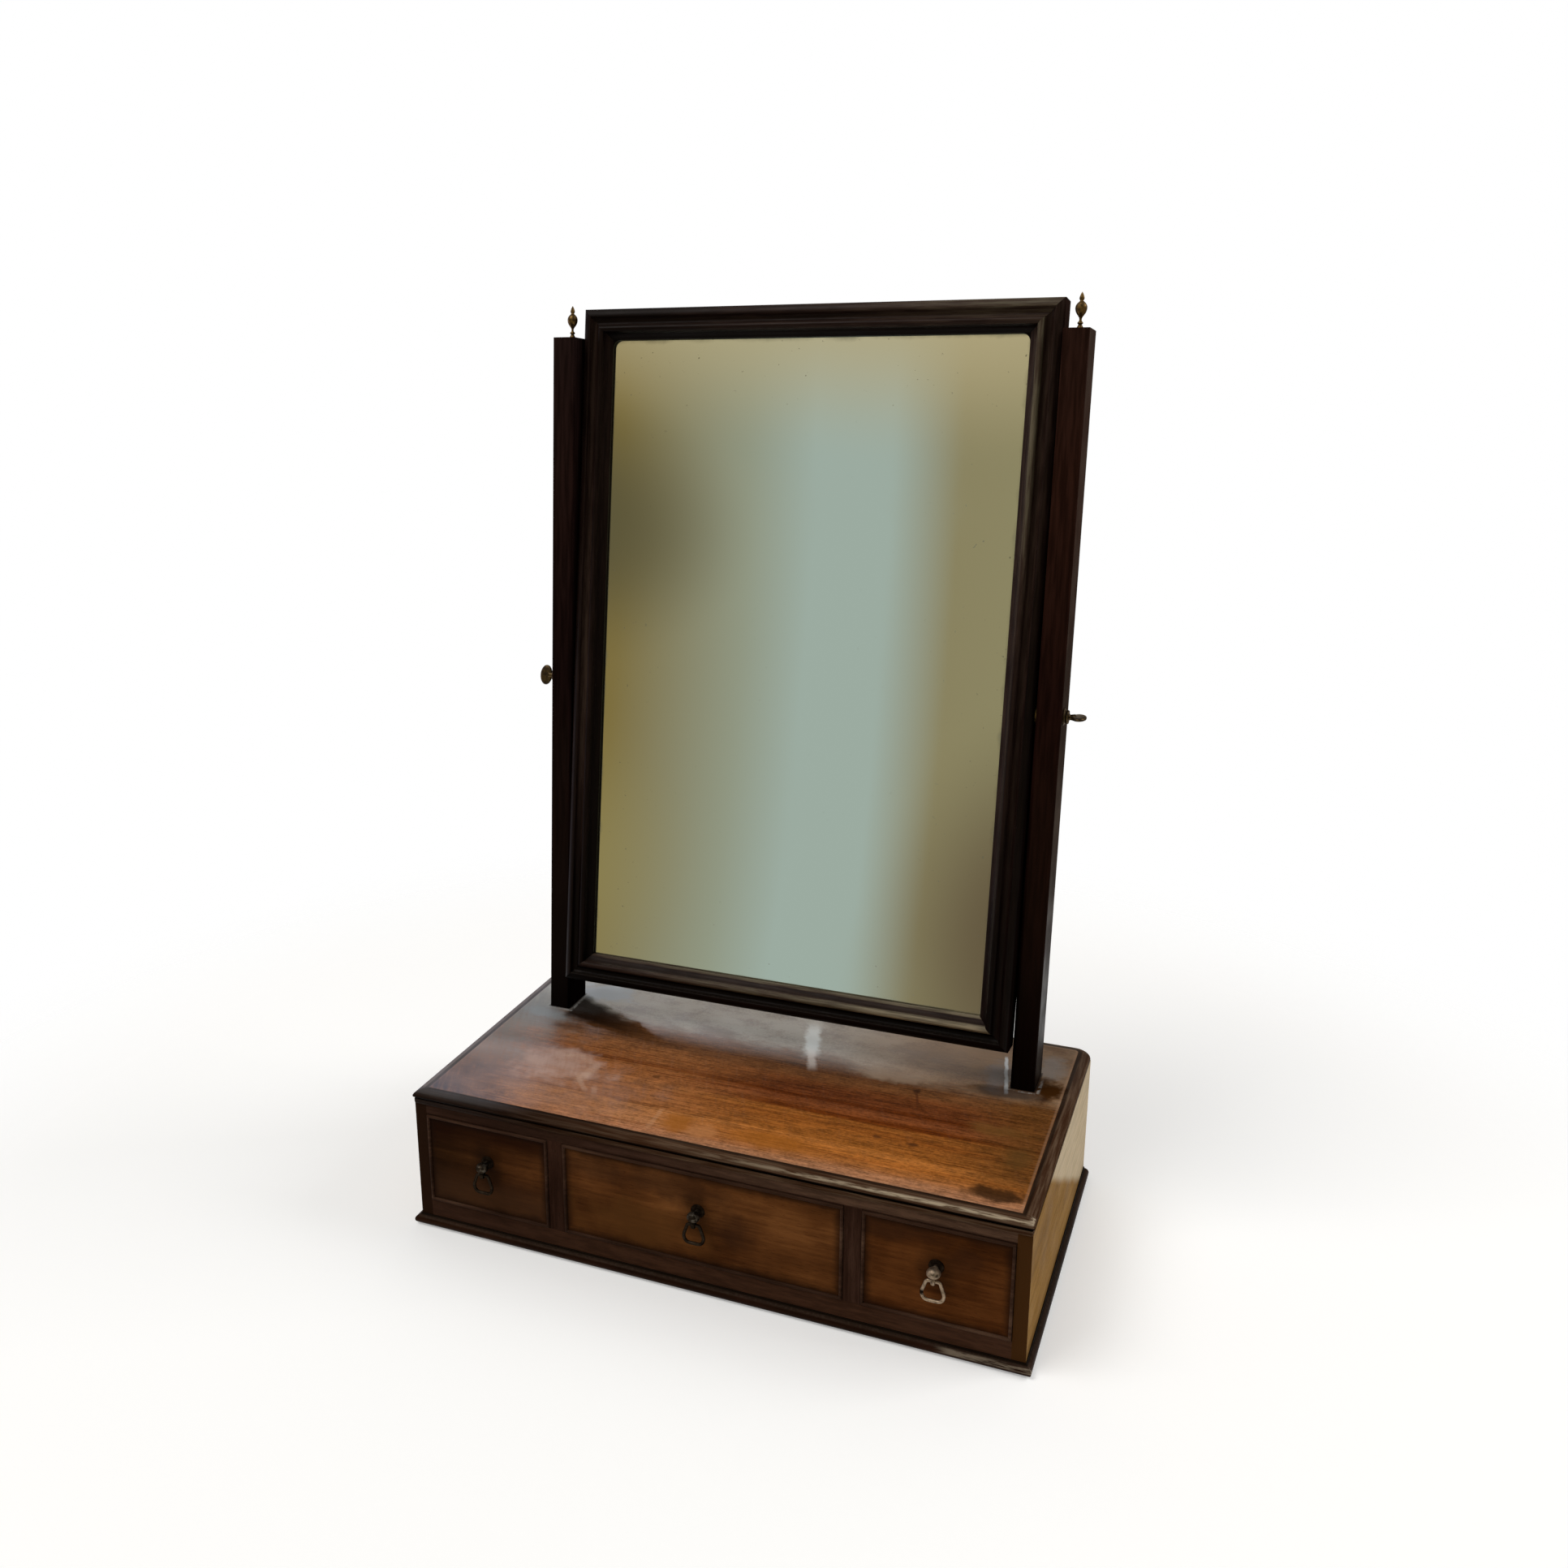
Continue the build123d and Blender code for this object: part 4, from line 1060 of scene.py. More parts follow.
@dataclass(frozen=True)
class DarkWood(Wood):
    """Nearly black polished wood of the posts, frame and plinth, with dust on its ledges."""

    dust: float = 0.35

    def pale_film(self, graph: Graph, paint: Paint) -> None:
        """Lays thin dust on faces that look upwards."""
        up = graph.parts(graph.node("ShaderNodeNewGeometry").outputs["Normal"])[2]
        specks = graph.noise(0.5, 4.0, shift=2.0).span(0.42, 0.68)
        dust = up.span(0.5, 0.98) * (0.5 * specks + 0.3)
        paint.lay(self.dust * dust, (0.10, 0.075, 0.055))
        paint.roughness += 0.2 * dust

    def weathered(self, graph: Graph, paint: Paint) -> None:
        """Rubs some red-brown through the polish, under the dust."""
        paint.lay(0.5 * graph.noise(0.02, 4.0, shift=9.0).span(0.48, 0.7), (0.034, 0.012, 0.008))
        self.pale_film(graph, paint)


@dataclass(frozen=True)
class PostWood(DarkWood):
    """Wood of the posts: black at the foot, red-brown higher up, more so on the right post."""

    height: Bands = (
        (114, (0.0044, 0.00176, 0.00176)), (180, (0.0066, 0.0022, 0.00176)), (250, (0.0176, 0.00616, 0.00396)),
        (400, (0.0286, 0.01012, 0.00748)), (560, (0.0616, 0.0231, 0.0154)), (645, (0.0572, 0.0242, 0.0176)))
    inner_face: float = 184.0

    def weathered(self, graph: Graph, paint: Paint) -> None:
        """Colours the post by its height."""
        x, _, z = graph.axes
        streaks = graph.noise(self.grain.waves(0.35), vector=graph.leant(graph.place, self.lean), shift=4.0)
        paint.colour = graph.bands(z, self.height)
        paint.shade(streaks.span(0.34, 0.66, (0.30, 0.62)))
        paint.shade((0.62, 0.75, 0.95), x.span(1.0, -1.0))
        self.pale_film(graph, paint)

    def gloss(self, graph: Graph) -> Value:
        """Returns the sheen, which the narrow gap beside the frame does not show."""
        x, _, z = graph.axes
        free = abs(x).span(self.inner_face, self.inner_face + 1.0)
        return self.specular * free * z.span(330.0, 400.0, (1.0, 0.35))


@dataclass(frozen=True)
class FrameWood(DarkWood):
    """Moulded wood of the frame: painted shade makes its hollows black and painted highlights light its high lines,
    unevenly along a member.

    The lit and shaded tones give, for the outer edge, the cove, the bead, the ogee and the lip, the tone at the
    start, the middle and the end of the member. A tone t is the colour (t, t (0.46 + 1.2 s), t (0.38 + 0.6 s)),
    where s is
    3 t or 0.3, whichever is less.
    """

    # Tones of the zones, painted shade and painted highlights included
    lit_and_shaded_tones: tuple[tuple[float, float, float], ...] = ((0.01,) * 3,) * 5
    along: int = 0
    half_length: float = 150.0
    half_width: float = FRAME_HALF
    ends: tuple[float, float] = (-FRAME_BELOW, FRAME_ABOVE)
    zones: tuple[float, ...] = (6.4, 12.6, 17.5, 21.2)

    def weathered(self, graph: Graph, paint: Paint) -> None:
        """Colours the member, with its painted light and shade, by its place across and along it."""
        own = graph.in_frame(self.lean)
        x, _, z = graph.parts(own)
        depth = (self.half_width - abs(x)) & (self.ends[1] - z) & (z - self.ends[0])
        run = (x, z)[self.along]
        first, second = run.span(-self.half_length, 0.0), run.span(0.0, self.half_length)
        # Tones across the moulding, holding painted shade in the hollows and painted highlights on the high lines
        tone, *tones = ((middle - start) * first + (end - middle) * second + start
                        for start, middle, end in self.lit_and_shaded_tones)
        for edge, wider in zip(self.zones, tones):
            tone = tone + depth.span(edge - 0.5, edge + 0.5) * (wider - tone)
        streaks = graph.noise(self.grain.waves(0.5), vector=own, shift=self.shift)
        tone = tone * streaks.span(0.34, 0.66, (0.62, 1.42))
        grey = (3.0 * tone) & 0.3
        parts = [tone, *(tone * (share * grey + base) for base, share in ((0.46, 1.2), (0.38, 0.6)))]
        paint.colour = graph.node("ShaderNodeCombineColor", *parts).outputs[0]
        self.pale_film(graph, paint)

    def gloss(self, graph: Graph) -> Value:
        """Returns the sheen, which the narrow gap beside the post does not show."""
        return self.specular * abs(graph.axes[0]).span(self.half_width - 0.6, self.half_width - 1.6)


RAIL = {"grain": Grain.ALONG_X, "along": 0, "half_length": 150.0}
STILE = {"grain": Grain.ALONG_Z, "along": 1, "half_length": 200.0}
# Tones of each member's zones, with painted shade in the hollows and painted highlights on the beads and lips
FRAME_LIT_AND_SHADED_TONES: dict[str, dict[str, object]] = {
    "top_rail": {**RAIL, "lit_and_shaded_tones": (
        (0.004, 0.022, 0.080), (0.010, 0.020, 0.050), (0.005, 0.022, 0.030), (0.002, 0.003, 0.002),
        (0.002, 0.003, 0.003))},
    "bottom_rail": {**RAIL, "lit_and_shaded_tones": (
        (0.002, 0.006, 0.004), (0.002, 0.003, 0.001), (0.020, 0.095, 0.240), (0.012, 0.014, 0.016),
        (0.050, 0.100, 0.150))},
    "left_stile": {**STILE, "lit_and_shaded_tones": (
        (0.005, 0.010, 0.010), (0.003, 0.036, 0.020), (0.004, 0.011, 0.009), (0.001, 0.004, 0.012),
        (0.001, 0.004, 0.012))},
    "right_stile": {**STILE, "lit_and_shaded_tones": (
        (0.004, 0.004, 0.020), (0.006, 0.020, 0.028), (0.003, 0.014, 0.100), (0.006, 0.024, 0.030),
        (0.009, 0.030, 0.030))}}


@dataclass(frozen=True)
class PlinthWood(DarkWood):
    """Wood of the plinth, its bead rubbed and given a painted highlight towards the right front corner."""

    bead: tuple[float, float] = (2.4, 7.6)

    def weathered(self, graph: Graph, paint: Paint) -> None:
        """Adds the rubbed bead with its painted highlight and the dark line over it."""
        super().weathered(graph, paint)
        x, y, z = graph.axes
        low, high = self.bead
        paint.lay(0.9 * z.span(high - 0.1, high + 0.3), (0.003, 0.002, 0.001))
        broken = graph.noise((0.07, 0.7, 0.7), 4.0, shift=15.0).span(0.34, 0.56)
        # The bead's pale band, part rubbing and part painted highlight, towards the right front corner
        worn_and_lit = z.span(low + 1.0, low + 2.2) * z.span(high, high - 0.8) * x.span(168.0, 182.0)
        paint.lay(0.8 * worn_and_lit * y.span(-122.5, -123.5) * broken, (0.24, 0.19, 0.14))


@dataclass(frozen=True)
class Brass:
    """Brass, from rubbed bright to brown with age."""

    name: str
    bright: Colour
    dull: Colour
    age: float = 0.5
    roughness: float = 0.36
    rim: Colour = (1.0, 1.0, 1.0)

    def worn_and_lit(self, graph: Graph, paint: Paint) -> None:
        """Adds bare metal where hands rub it, with painted highlights. Plain brass is even."""

    def make(self) -> bpy.types.Material:
        """Returns the material."""
        graph = Graph(bpy.data.materials.new(self.name))
        blotches = graph.noise(0.35, 5.0)
        paint = Paint(graph, graph.mix(blotches.span(self.age - 0.22, self.age + 0.2), self.dull, self.bright))
        self.worn_and_lit(graph, paint)
        paint.lay(0.7 * graph.noise(1.6, 2.0).span(0.6, 0.7), (0.02, 0.013, 0.008))
        roughness = blotches.span(0.3, 0.7, (self.roughness + 0.14, self.roughness - 0.06))
        return graph.surface(paint.colour, roughness, graph.noise(1.2), 0.08, Metallic=0.92, Specular_Tint=self.rim)


@dataclass(frozen=True)
class PullBrass(Brass):
    """Brown brass of the pulls, the right one rubbed paler than the others and given painted highlights."""

    front: float = -121.55
    head_foot: float = 62.0

    def worn_and_lit(self, graph: Graph, paint: Paint) -> None:
        """Adds rubbed heads with a painted highlight on their upper part, and paler, patchy metal on the right
        pull, part rubbing and part painted highlight.
        """
        x, y, z = graph.axes
        free = y.span(self.front - 2.0, self.front - 4.0)
        # Painted highlight with some rubbing on the upper part of each head
        head = free * z.span(self.head_foot, self.head_foot + 3.0) * graph.noise(0.3, shift=9.0).span(0.45, 0.6)
        paint.lay(0.22 * head, (0.30, 0.27, 0.22))
        patches = graph.noise(0.18, shift=5.0).span(0.26, 0.52)
        # The right pull paler: part rubbing, part painted highlight
        paint.lay(patches * free * x.span(80.0, 150.0, (0.03, 0.8)), (0.44, 0.33, 0.23))


@dataclass(frozen=True)
class SilveredGlass:
    """Old mirror plate: a soft grey-green reflection, with a few specks and a dull rim."""

    name: str = "silvered_glass_old"
    tint: Colour = (0.66, 0.68, 0.58)
    half_width: float = 158.0
    top: float = 262.0
    bottom: float = -226.0
    lean: float = FRAME_LEAN

    def make(self) -> bpy.types.Material:
        """Returns the material."""
        graph = Graph(bpy.data.materials.new(self.name))
        x, _, z = graph.parts(graph.in_frame(self.lean))
        rim = (self.half_width - abs(x)) & (self.top - z) & (z - self.bottom)
        cloud = (rim - 9.0 * graph.noise(0.05, 5.0)).span(-2.0, -7.0)
        dots = graph.noise(0.28, shift=8.0).span(0.70, 0.76) * rim.span(70.0, 4.0, (0.10, 1.0))
        foxing = (0.5 * cloud) | (0.7 * dots)
        haze = graph.noise(0.01, shift=3.0).span(0.35, 0.7, (0.015, 0.05))
        return graph.surface(graph.mix(foxing, self.tint, (0.20, 0.18, 0.12)), haze + 0.3 * foxing, Metallic=1.0)


@dataclass(frozen=True)
class Finishes:
    """Every material of the object."""

    top: bpy.types.Material
    rails: bpy.types.Material
    sides: bpy.types.Material
    uprights: bpy.types.Material
    drawers: bpy.types.Material
    beads: bpy.types.Material
    posts: bpy.types.Material
    members: dict[str, bpy.types.Material]
    plinth_front: bpy.types.Material
    plinth_sides: bpy.types.Material
    oak_sides: bpy.types.Material
    oak_backs: bpy.types.Material
    pine: bpy.types.Material
    back_board: bpy.types.Material
    blocks: bpy.types.Material
    brass: bpy.types.Material
    dark_brass: bpy.types.Material
    aged_brass: bpy.types.Material
    glass: bpy.types.Material

    @classmethod
    def make(cls) -> "Finishes":
        """Returns the finishes, each from its own recipe."""
        case = CaseWood("mahogany_case_wood", (0.013, 0.005, 0.0028), (0.027, 0.0115, 0.007),
                        (0.058, 0.028, 0.019), roughness=0.45, specular=0.02, fade=(-160.0, 200.0, 1.1, 1.55))
        black = ((0.004, 0.002, 0.002), (0.010, 0.004, 0.004), (0.022, 0.010, 0.008))
        frame_wood = FrameWood("frame_wood", *black, lean=FRAME_LEAN, shift=5.0, roughness=0.36, specular=0.07,
                               glint=(1.0, 0.9, 0.86), dust=0.12)
        plinth = PlinthWood("plinth_wood", (0.008, 0.003, 0.0015), (0.016, 0.006, 0.003), (0.034, 0.013, 0.006),
                            roughness=0.4, specular=0.05)
        oak = Wood("oak_linings", (0.20, 0.12, 0.06), (0.36, 0.24, 0.13), (0.50, 0.36, 0.21),
                   grain=Grain.ALONG_Y, roughness=0.62)
        pine = Wood("pine_boards", (0.22, 0.13, 0.06), (0.38, 0.25, 0.13), (0.52, 0.37, 0.21), roughness=0.66,
                    pores=0.2)
        return cls(
            top=TopWood("mahogany_top_wood", roughness=0.3, specular=0.6, glint=(1.0, 1.0, 1.0)).make(),
            rails=case.make(),
            sides=SideWood("mahogany_side_wood", (0.180, 0.092, 0.024), (0.255, 0.135, 0.036), (0.33, 0.185, 0.056),
                           grain=Grain.ALONG_Y, roughness=0.55, specular=0.01).make(),
            uprights=replace(case.along(Grain.ALONG_Z), fade=(-110.0, 110.0, 1.65, 1.25)).make(),
            drawers=DrawerWood("mahogany_drawer_wood", (0.034, 0.011, 0.003), (0.072, 0.025, 0.0068),
                               (0.135, 0.051, 0.015), shares=(0.30, 0.20, 0.50), roughness=0.42, specular=0.018,
                               fade=(-218.0, -105.0, 0.36, 1.75)).make(),
            beads=Wood("bead_wood", (0.020, 0.009, 0.005), (0.048, 0.023, 0.014), (0.110, 0.060, 0.037),
                       roughness=0.42, specular=0.04).make(),
            posts=PostWood("post_wood", *black, grain=Grain.ALONG_Z, lean=POST_LEAN, roughness=0.42, specular=0.06,
                           dust=0.2).make(),
            members={name: replace(frame_wood, name=f"frame_{name}_wood", **settings).make()
                     for name, settings in FRAME_LIT_AND_SHADED_TONES.items()},
            plinth_front=plinth.make(),
            plinth_sides=plinth.along(Grain.ALONG_Y).make(),
            oak_sides=oak.make(),
            oak_backs=oak.along(Grain.ALONG_X).make(),
            pine=pine.make(),
            back_board=NailedWood("nailed_pine", pine.dark, pine.middle, pine.light, roughness=0.66, pores=0.2,
                                  shift=6.0).make(),
            blocks=pine.along(Grain.ALONG_Z).make(),
            brass=Brass("brass_worn", (0.19, 0.115, 0.035), (0.040, 0.023, 0.008)).make(),
            dark_brass=Brass("brass_dark", (0.12, 0.08, 0.034), (0.030, 0.019, 0.010), 0.54).make(),
            aged_brass=PullBrass("brass_aged", (0.020, 0.013, 0.008), (0.006, 0.0035, 0.0022), 0.56, 0.48,
                                 (0.30, 0.25, 0.20)).make(),
            glass=SilveredGlass().make())


# Pieces

def joint_place(name: str) -> Vector:
    """Returns the place of a hinge, in millimetres."""
    found = next(joint for joint in frame["joints"] if joint["name"] == name)
    return Vector(found["pos_m"]) / MM


PIVOT = joint_place("mirror_tilt")


def make_piece(name: str, shell: Shell, finish: bpy.types.Material, body: str,
               stands_for: Sequence[str] = (), crease: float = 32.0) -> bpy.types.Object:
    """Makes a piece from a shell and ties it to its body.

    Args:
        name: Name of the piece.
        shell: Its surface, in millimetres.
        finish: Its material.
        body: Body of the object that it moves with.
        stands_for: Solids that it takes the place of.
        crease: Angle in degrees from which an edge stays sharp.

    Returns:
        The Blender object.
    """
    mesh = bpy.data.meshes.new(name)
    faces = shell.quads.tolist() + [cap.tolist() for cap in shell.caps]
    mesh.from_pydata((shell.points * MM).tolist(), [], faces)
    work = bmesh.new()
    work.from_mesh(mesh)
    bmesh.ops.remove_doubles(work, verts=work.verts, dist=1e-6)
    bmesh.ops.recalc_face_normals(work, faces=work.faces)
    work.to_mesh(mesh)
    work.free()
    mesh.polygons.foreach_set("use_smooth", np.ones(len(mesh.polygons), bool))
    mesh.set_sharp_from_angle(angle=radians(crease))
    mesh.materials.append(finish)
    piece = bpy.data.objects.new(name, mesh)
    bpy.context.scene.collection.objects.link(piece)
    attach(piece, body)
    if stands_for:
        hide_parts(*stands_for)
    LOG.info("piece %s: %d faces, on %s", name, len(mesh.polygons), body)
    return piece


def dress(finish: bpy.types.Material, *nodes: str) -> None:
    """Gives solids that are kept as they are their material.

    Args:
        finish: The material.
        nodes: Names of the solids.
    """
    for node in nodes:
        for place in frame["nodes"][node].material_slots:
            place.material = finish
        LOG.info("solid %s: %s", node, finish.name)


@dataclass(frozen=True)
class TopBoard:
    """Board over the case, with a rounded edge, a quirk and a plain band under it."""

    low: tuple[float, float] = TOP_LOW
    high: tuple[float, float] = TOP_HIGH
    top: float = TOP_FACE
    thickness: float = 11.0
    bead_height: float = 5.4
    shoulder: tuple[float, float] = (TOP_SHOULDER, 4.6)
    quirk_height: float = 1.0
    quirk_depth: float = 1.9
    band_inset: float = 1.0
    band_radius: float = 1.6
    front_radius: float = 1.2
    back_radius: float = TOP_CORNER

    def edge(self) -> np.ndarray:
        """Returns the moulded edge as rows of inset and height, from the top face down.

        The shoulder is a quarter ellipse, inset = width (1 - cos a) and height = top - drop (1 - sin a).
        """
        top, bottom = self.top, self.top - self.thickness
        bead_foot = top - self.bead_height
        quirk_foot = bead_foot - self.quirk_height
        width, drop = self.shoulder
        angle = np.linspace(pi / 2, 0, 17)[1:]
        bead = np.column_stack([width * (1 - np.cos(angle)), top - drop + drop * np.sin(angle)])
        step = [(width + 14, top), (width + 1.5, top), (width + 0.2, top), (width - 0.1, top - 0.15)]
        foot = arc((0, bead_foot + 0.8), (0.25, bead_foot + 0.22), (0.9, bead_foot), 5)
        b, i = self.band_radius, self.band_inset
        middle = b - b * 0.5 ** 0.5
        band = arc((i, bottom + b), (i + middle, bottom + middle), (i + b, bottom), 6)
        return np.vstack([step, bead[2:] - (0, 0.1), foot, [(self.quirk_depth, bead_foot)],
                          [(self.quirk_depth, quirk_foot), (i + 0.5, quirk_foot)],
                          [(i + 0.12, quirk_foot - 0.15), (i, quirk_foot - 0.6)], band, [(i + 12, bottom)]])

    def shell(self) -> Shell:
        """Returns the board: at each row of the edge, the plan drawn in by the inset.

        Ring i is the rounded rectangle at height z_i whose sides lie inset_i inside the board's
        outline. The front corners keep their radius and the back ones lose the inset.
        """
        rings = []
        for inset, height in self.edge():
            back = max(self.back_radius - inset, 0.5)
            plan = rounded_plan([side + inset for side in self.low], [side - inset for side in self.high],
                                (self.front_radius, self.front_radius, back, back))
            rings.append(np.insert(plan, 2, height, axis=1))
        return loft(np.stack(rings))

    def build(self, finishes: Finishes) -> None:
        """Makes the board."""
        make_piece("top_board_moulded", self.shell(), finishes.top, "case", ["top_board"])


@dataclass(frozen=True)
class Plinth:
    """Moulding round the foot of the case: a bead with a small step over it."""

    reach_x: float = 233.5
    front: float = -126.05
    back: float = 134.45
    strip: float = 20.0
    height: float = 9.0
    bead_height: float = 6.9
    bead_depth: float = 3.1
    foot_rise: float = 0.8
    step: float = 3.7

    def section(self) -> np.ndarray:
        """Returns the section as rows of depth inwards from the outermost line and height."""
        foot = self.bead_depth
        low, high = self.foot_rise, self.foot_rise + self.bead_height
        bead = arc((foot, low), (0, (low + high) / 2), (foot, high), 13)
        rest = [(self.step, high + 0.4), (self.step, self.height), (self.strip, self.height), (self.strip, 0),
                (foot, 0)]
        return softened(np.vstack([bead, rest]), 0.35)

    def build(self, finishes: Finishes) -> None:
        """Makes the three strips, mitred at the front corners."""
        lift = Matrix(((1, 0, 0, 0), (0, 0, 1, 0), (0, 1, 0, 0), (0, 0, 0, 1)))
        front = mitred_bar(self.section(), 2 * self.reach_x).placed(move(0, self.front, 0) @ lift)
        make_piece("plinth_front_moulded", front, finishes.plinth_front, "case", ["plinth_front"])
        middle = (self.back + self.front) / 2
        for name, side in SIDES.items():
            strip = mitred_bar(self.section(), self.back - self.front, (0.0, 1.0)[::-side])
            strip = strip.placed(move(side * self.reach_x, middle, 0) @ turn(90 * side, "Z") @ lift)
            make_piece(f"plinth_{name}_moulded", strip, finishes.plinth_sides, "case",
                       [f"plinth_{name}"])


@dataclass(frozen=True)
class Finial:
    """Turned brass finial on the top of a post."""

    post_middle: float = 191.4
    above_pivot: float = 264.0
    forwards: float = 5.0
    rake: float = POST_LEAN

    def profile(self) -> np.ndarray:
        """Returns the radius and height of the turning, from its foot to the tip of the flame."""
        foot = [(0, 0), (2.8, 0), (2.95, 0.2), (2.95, 0.7), (2.75, 0.95)]
        cup = [(2.3, 1.0), (1.5, 2.4), (1.15, 3.2), (1.85, 3.6), (1.95, 4.1), (1.75, 4.6), (1.0, 5.3),
               (0.8, 6.4), (1.0, 7.6), (2.2, 9.2), (3.4, 11.0), (3.95, 13.2), (3.9, 14.8), (3.2, 16.6),
               (1.7, 18.0), (1.0, 18.8), (1.55, 19.3), (1.75, 20.2), (1.5, 21.4), (0.8, 23.2), (0, 24.5)]
        return np.vstack([foot, smoothed(np.array(cup, float))])

    def build(self, finishes: Finishes) -> None:
        """Makes both finials, leaning with their posts."""
        place = move(*PIVOT) @ turn(-self.rake, "X") @ move(0, self.forwards, self.above_pivot)
        for name, side in SIDES.items():
            shell = turned(self.profile(), 48).placed(move(side * self.post_middle, 0, 0) @ place)
            make_piece(f"{name}_finial_turned", shell, finishes.brass, "case", [f"{name}_finial"])


@dataclass(frozen=True)
class Pivots:
    """Brass roses with their bushes, thumb screws, and the small screws of the pivot plates."""

    post_inner: float = 182.6
    post_outer: float = 200.2
    tilt: float = FRAME_LEAN
    bore: float = 2.56
    bush: float = 4.0
    rose: float = 6.2
    rose_thickness: float = 1.6
    shank: float = 2.5
    shank_start: float = 170.0
    collar: float = 5.0
    collar_thickness: float = 1.7
    face_gap: float = 0.3
    neck: float = 2.0
    plate_middle: float = 210.6
    plate: tuple[float, float, float] = (5.2, 8.0, 1.5)
    frame_edge: float = FRAME_HALF
    screw_head: tuple[float, float, float, float] = (2.6, 0.5, 0.7, 0.45)
    screw_rises: tuple[float, float] = (-12.0, 12.0)

    def rose_section(self) -> np.ndarray:
        """Returns the closed section of rose and bush, as rows of radius and place along the axis."""
        inner, outer = self.post_inner, self.post_outer
        face = outer + self.rose_thickness
        r = self.rose
        return np.array([(self.bore, inner), (self.bush, inner), (self.bush, outer), (r - 0.1, outer),
                         (r, outer + 0.15), (r, outer + 0.5), (r - 0.3, outer + 0.75), (r - 0.7, outer + 0.8),
                         (r - 0.95, outer + 0.95), (r - 1.15, face - 0.2), (r - 1.5, face - 0.02), (r - 1.8, face),
                         (self.bore, face)])

    def thumb_screw(self) -> Shell:
        """Returns a screw along X: shank, moulded collar, waisted neck and flat oval plate."""
        start = self.post_outer + self.rose_thickness + self.face_gap
        end = start + self.collar_thickness
        c = self.collar
        waist = smoothed(np.array([(c - 1.2, end), (self.neck + 0.4, end + 0.25), (self.neck - 0.1, end + 1.2),
                                   (self.neck + 0.2, end + 2.2), (self.neck + 0.5, self.plate_middle - 2.6)]))
        stem = np.vstack([[(0, self.shank_start), (self.shank - 0.4, self.shank_start)],
                          [(self.shank, self.shank_start + 0.5), (self.shank, start), (c - 0.25, start)],
                          arc((c - 0.2, start), (c, (start + end) / 2), (c - 0.35, end - 0.12), 7), waist,
                          [(0, self.plate_middle - 1.5)]])
        oval = pillow(self.plate, 3.2).placed(move(self.plate_middle, 0, 0))
        return turned(stem, 40).placed(turn_to("+x")) + oval

    def build(self, finishes: Finishes) -> None:
        """Makes the pieces of both pivots."""
        place = move(0, PIVOT.y, PIVOT.z)
        lean = place @ turn(-self.tilt, "X")
        for name, roll in (("left", 90 + self.tilt), ("right", self.tilt)):
            side = SIDES[name]
            facing = turn(0 if side > 0 else 180, "Z")
            rose = turned(self.rose_section(), 48, closed=True).placed(place @ facing @ turn_to("+x"))
            make_piece(f"{name}_pivot_rose", rose, finishes.dark_brass, "case", [f"{name}_pivot_bush"])
            screw = self.thumb_screw().placed(lean @ facing @ turn(roll, "X"))
            make_piece(f"{name}_thumb_screw_shaped", screw, finishes.dark_brass, f"{name}_thumb_screw",
                       [f"{name}_thumb_screw"])
            heads = joined(slotted_head(*self.screw_head).placed(
                lean @ move(side * (self.frame_edge + 0.02), 0, rise) @ turn_to("+x" if side > 0 else "-x")
                @ Matrix.Rotation(rise, 4, "Z")) for rise in self.screw_rises)
            make_piece(f"{name}_plate_screws", heads, finishes.aged_brass, "mirror")


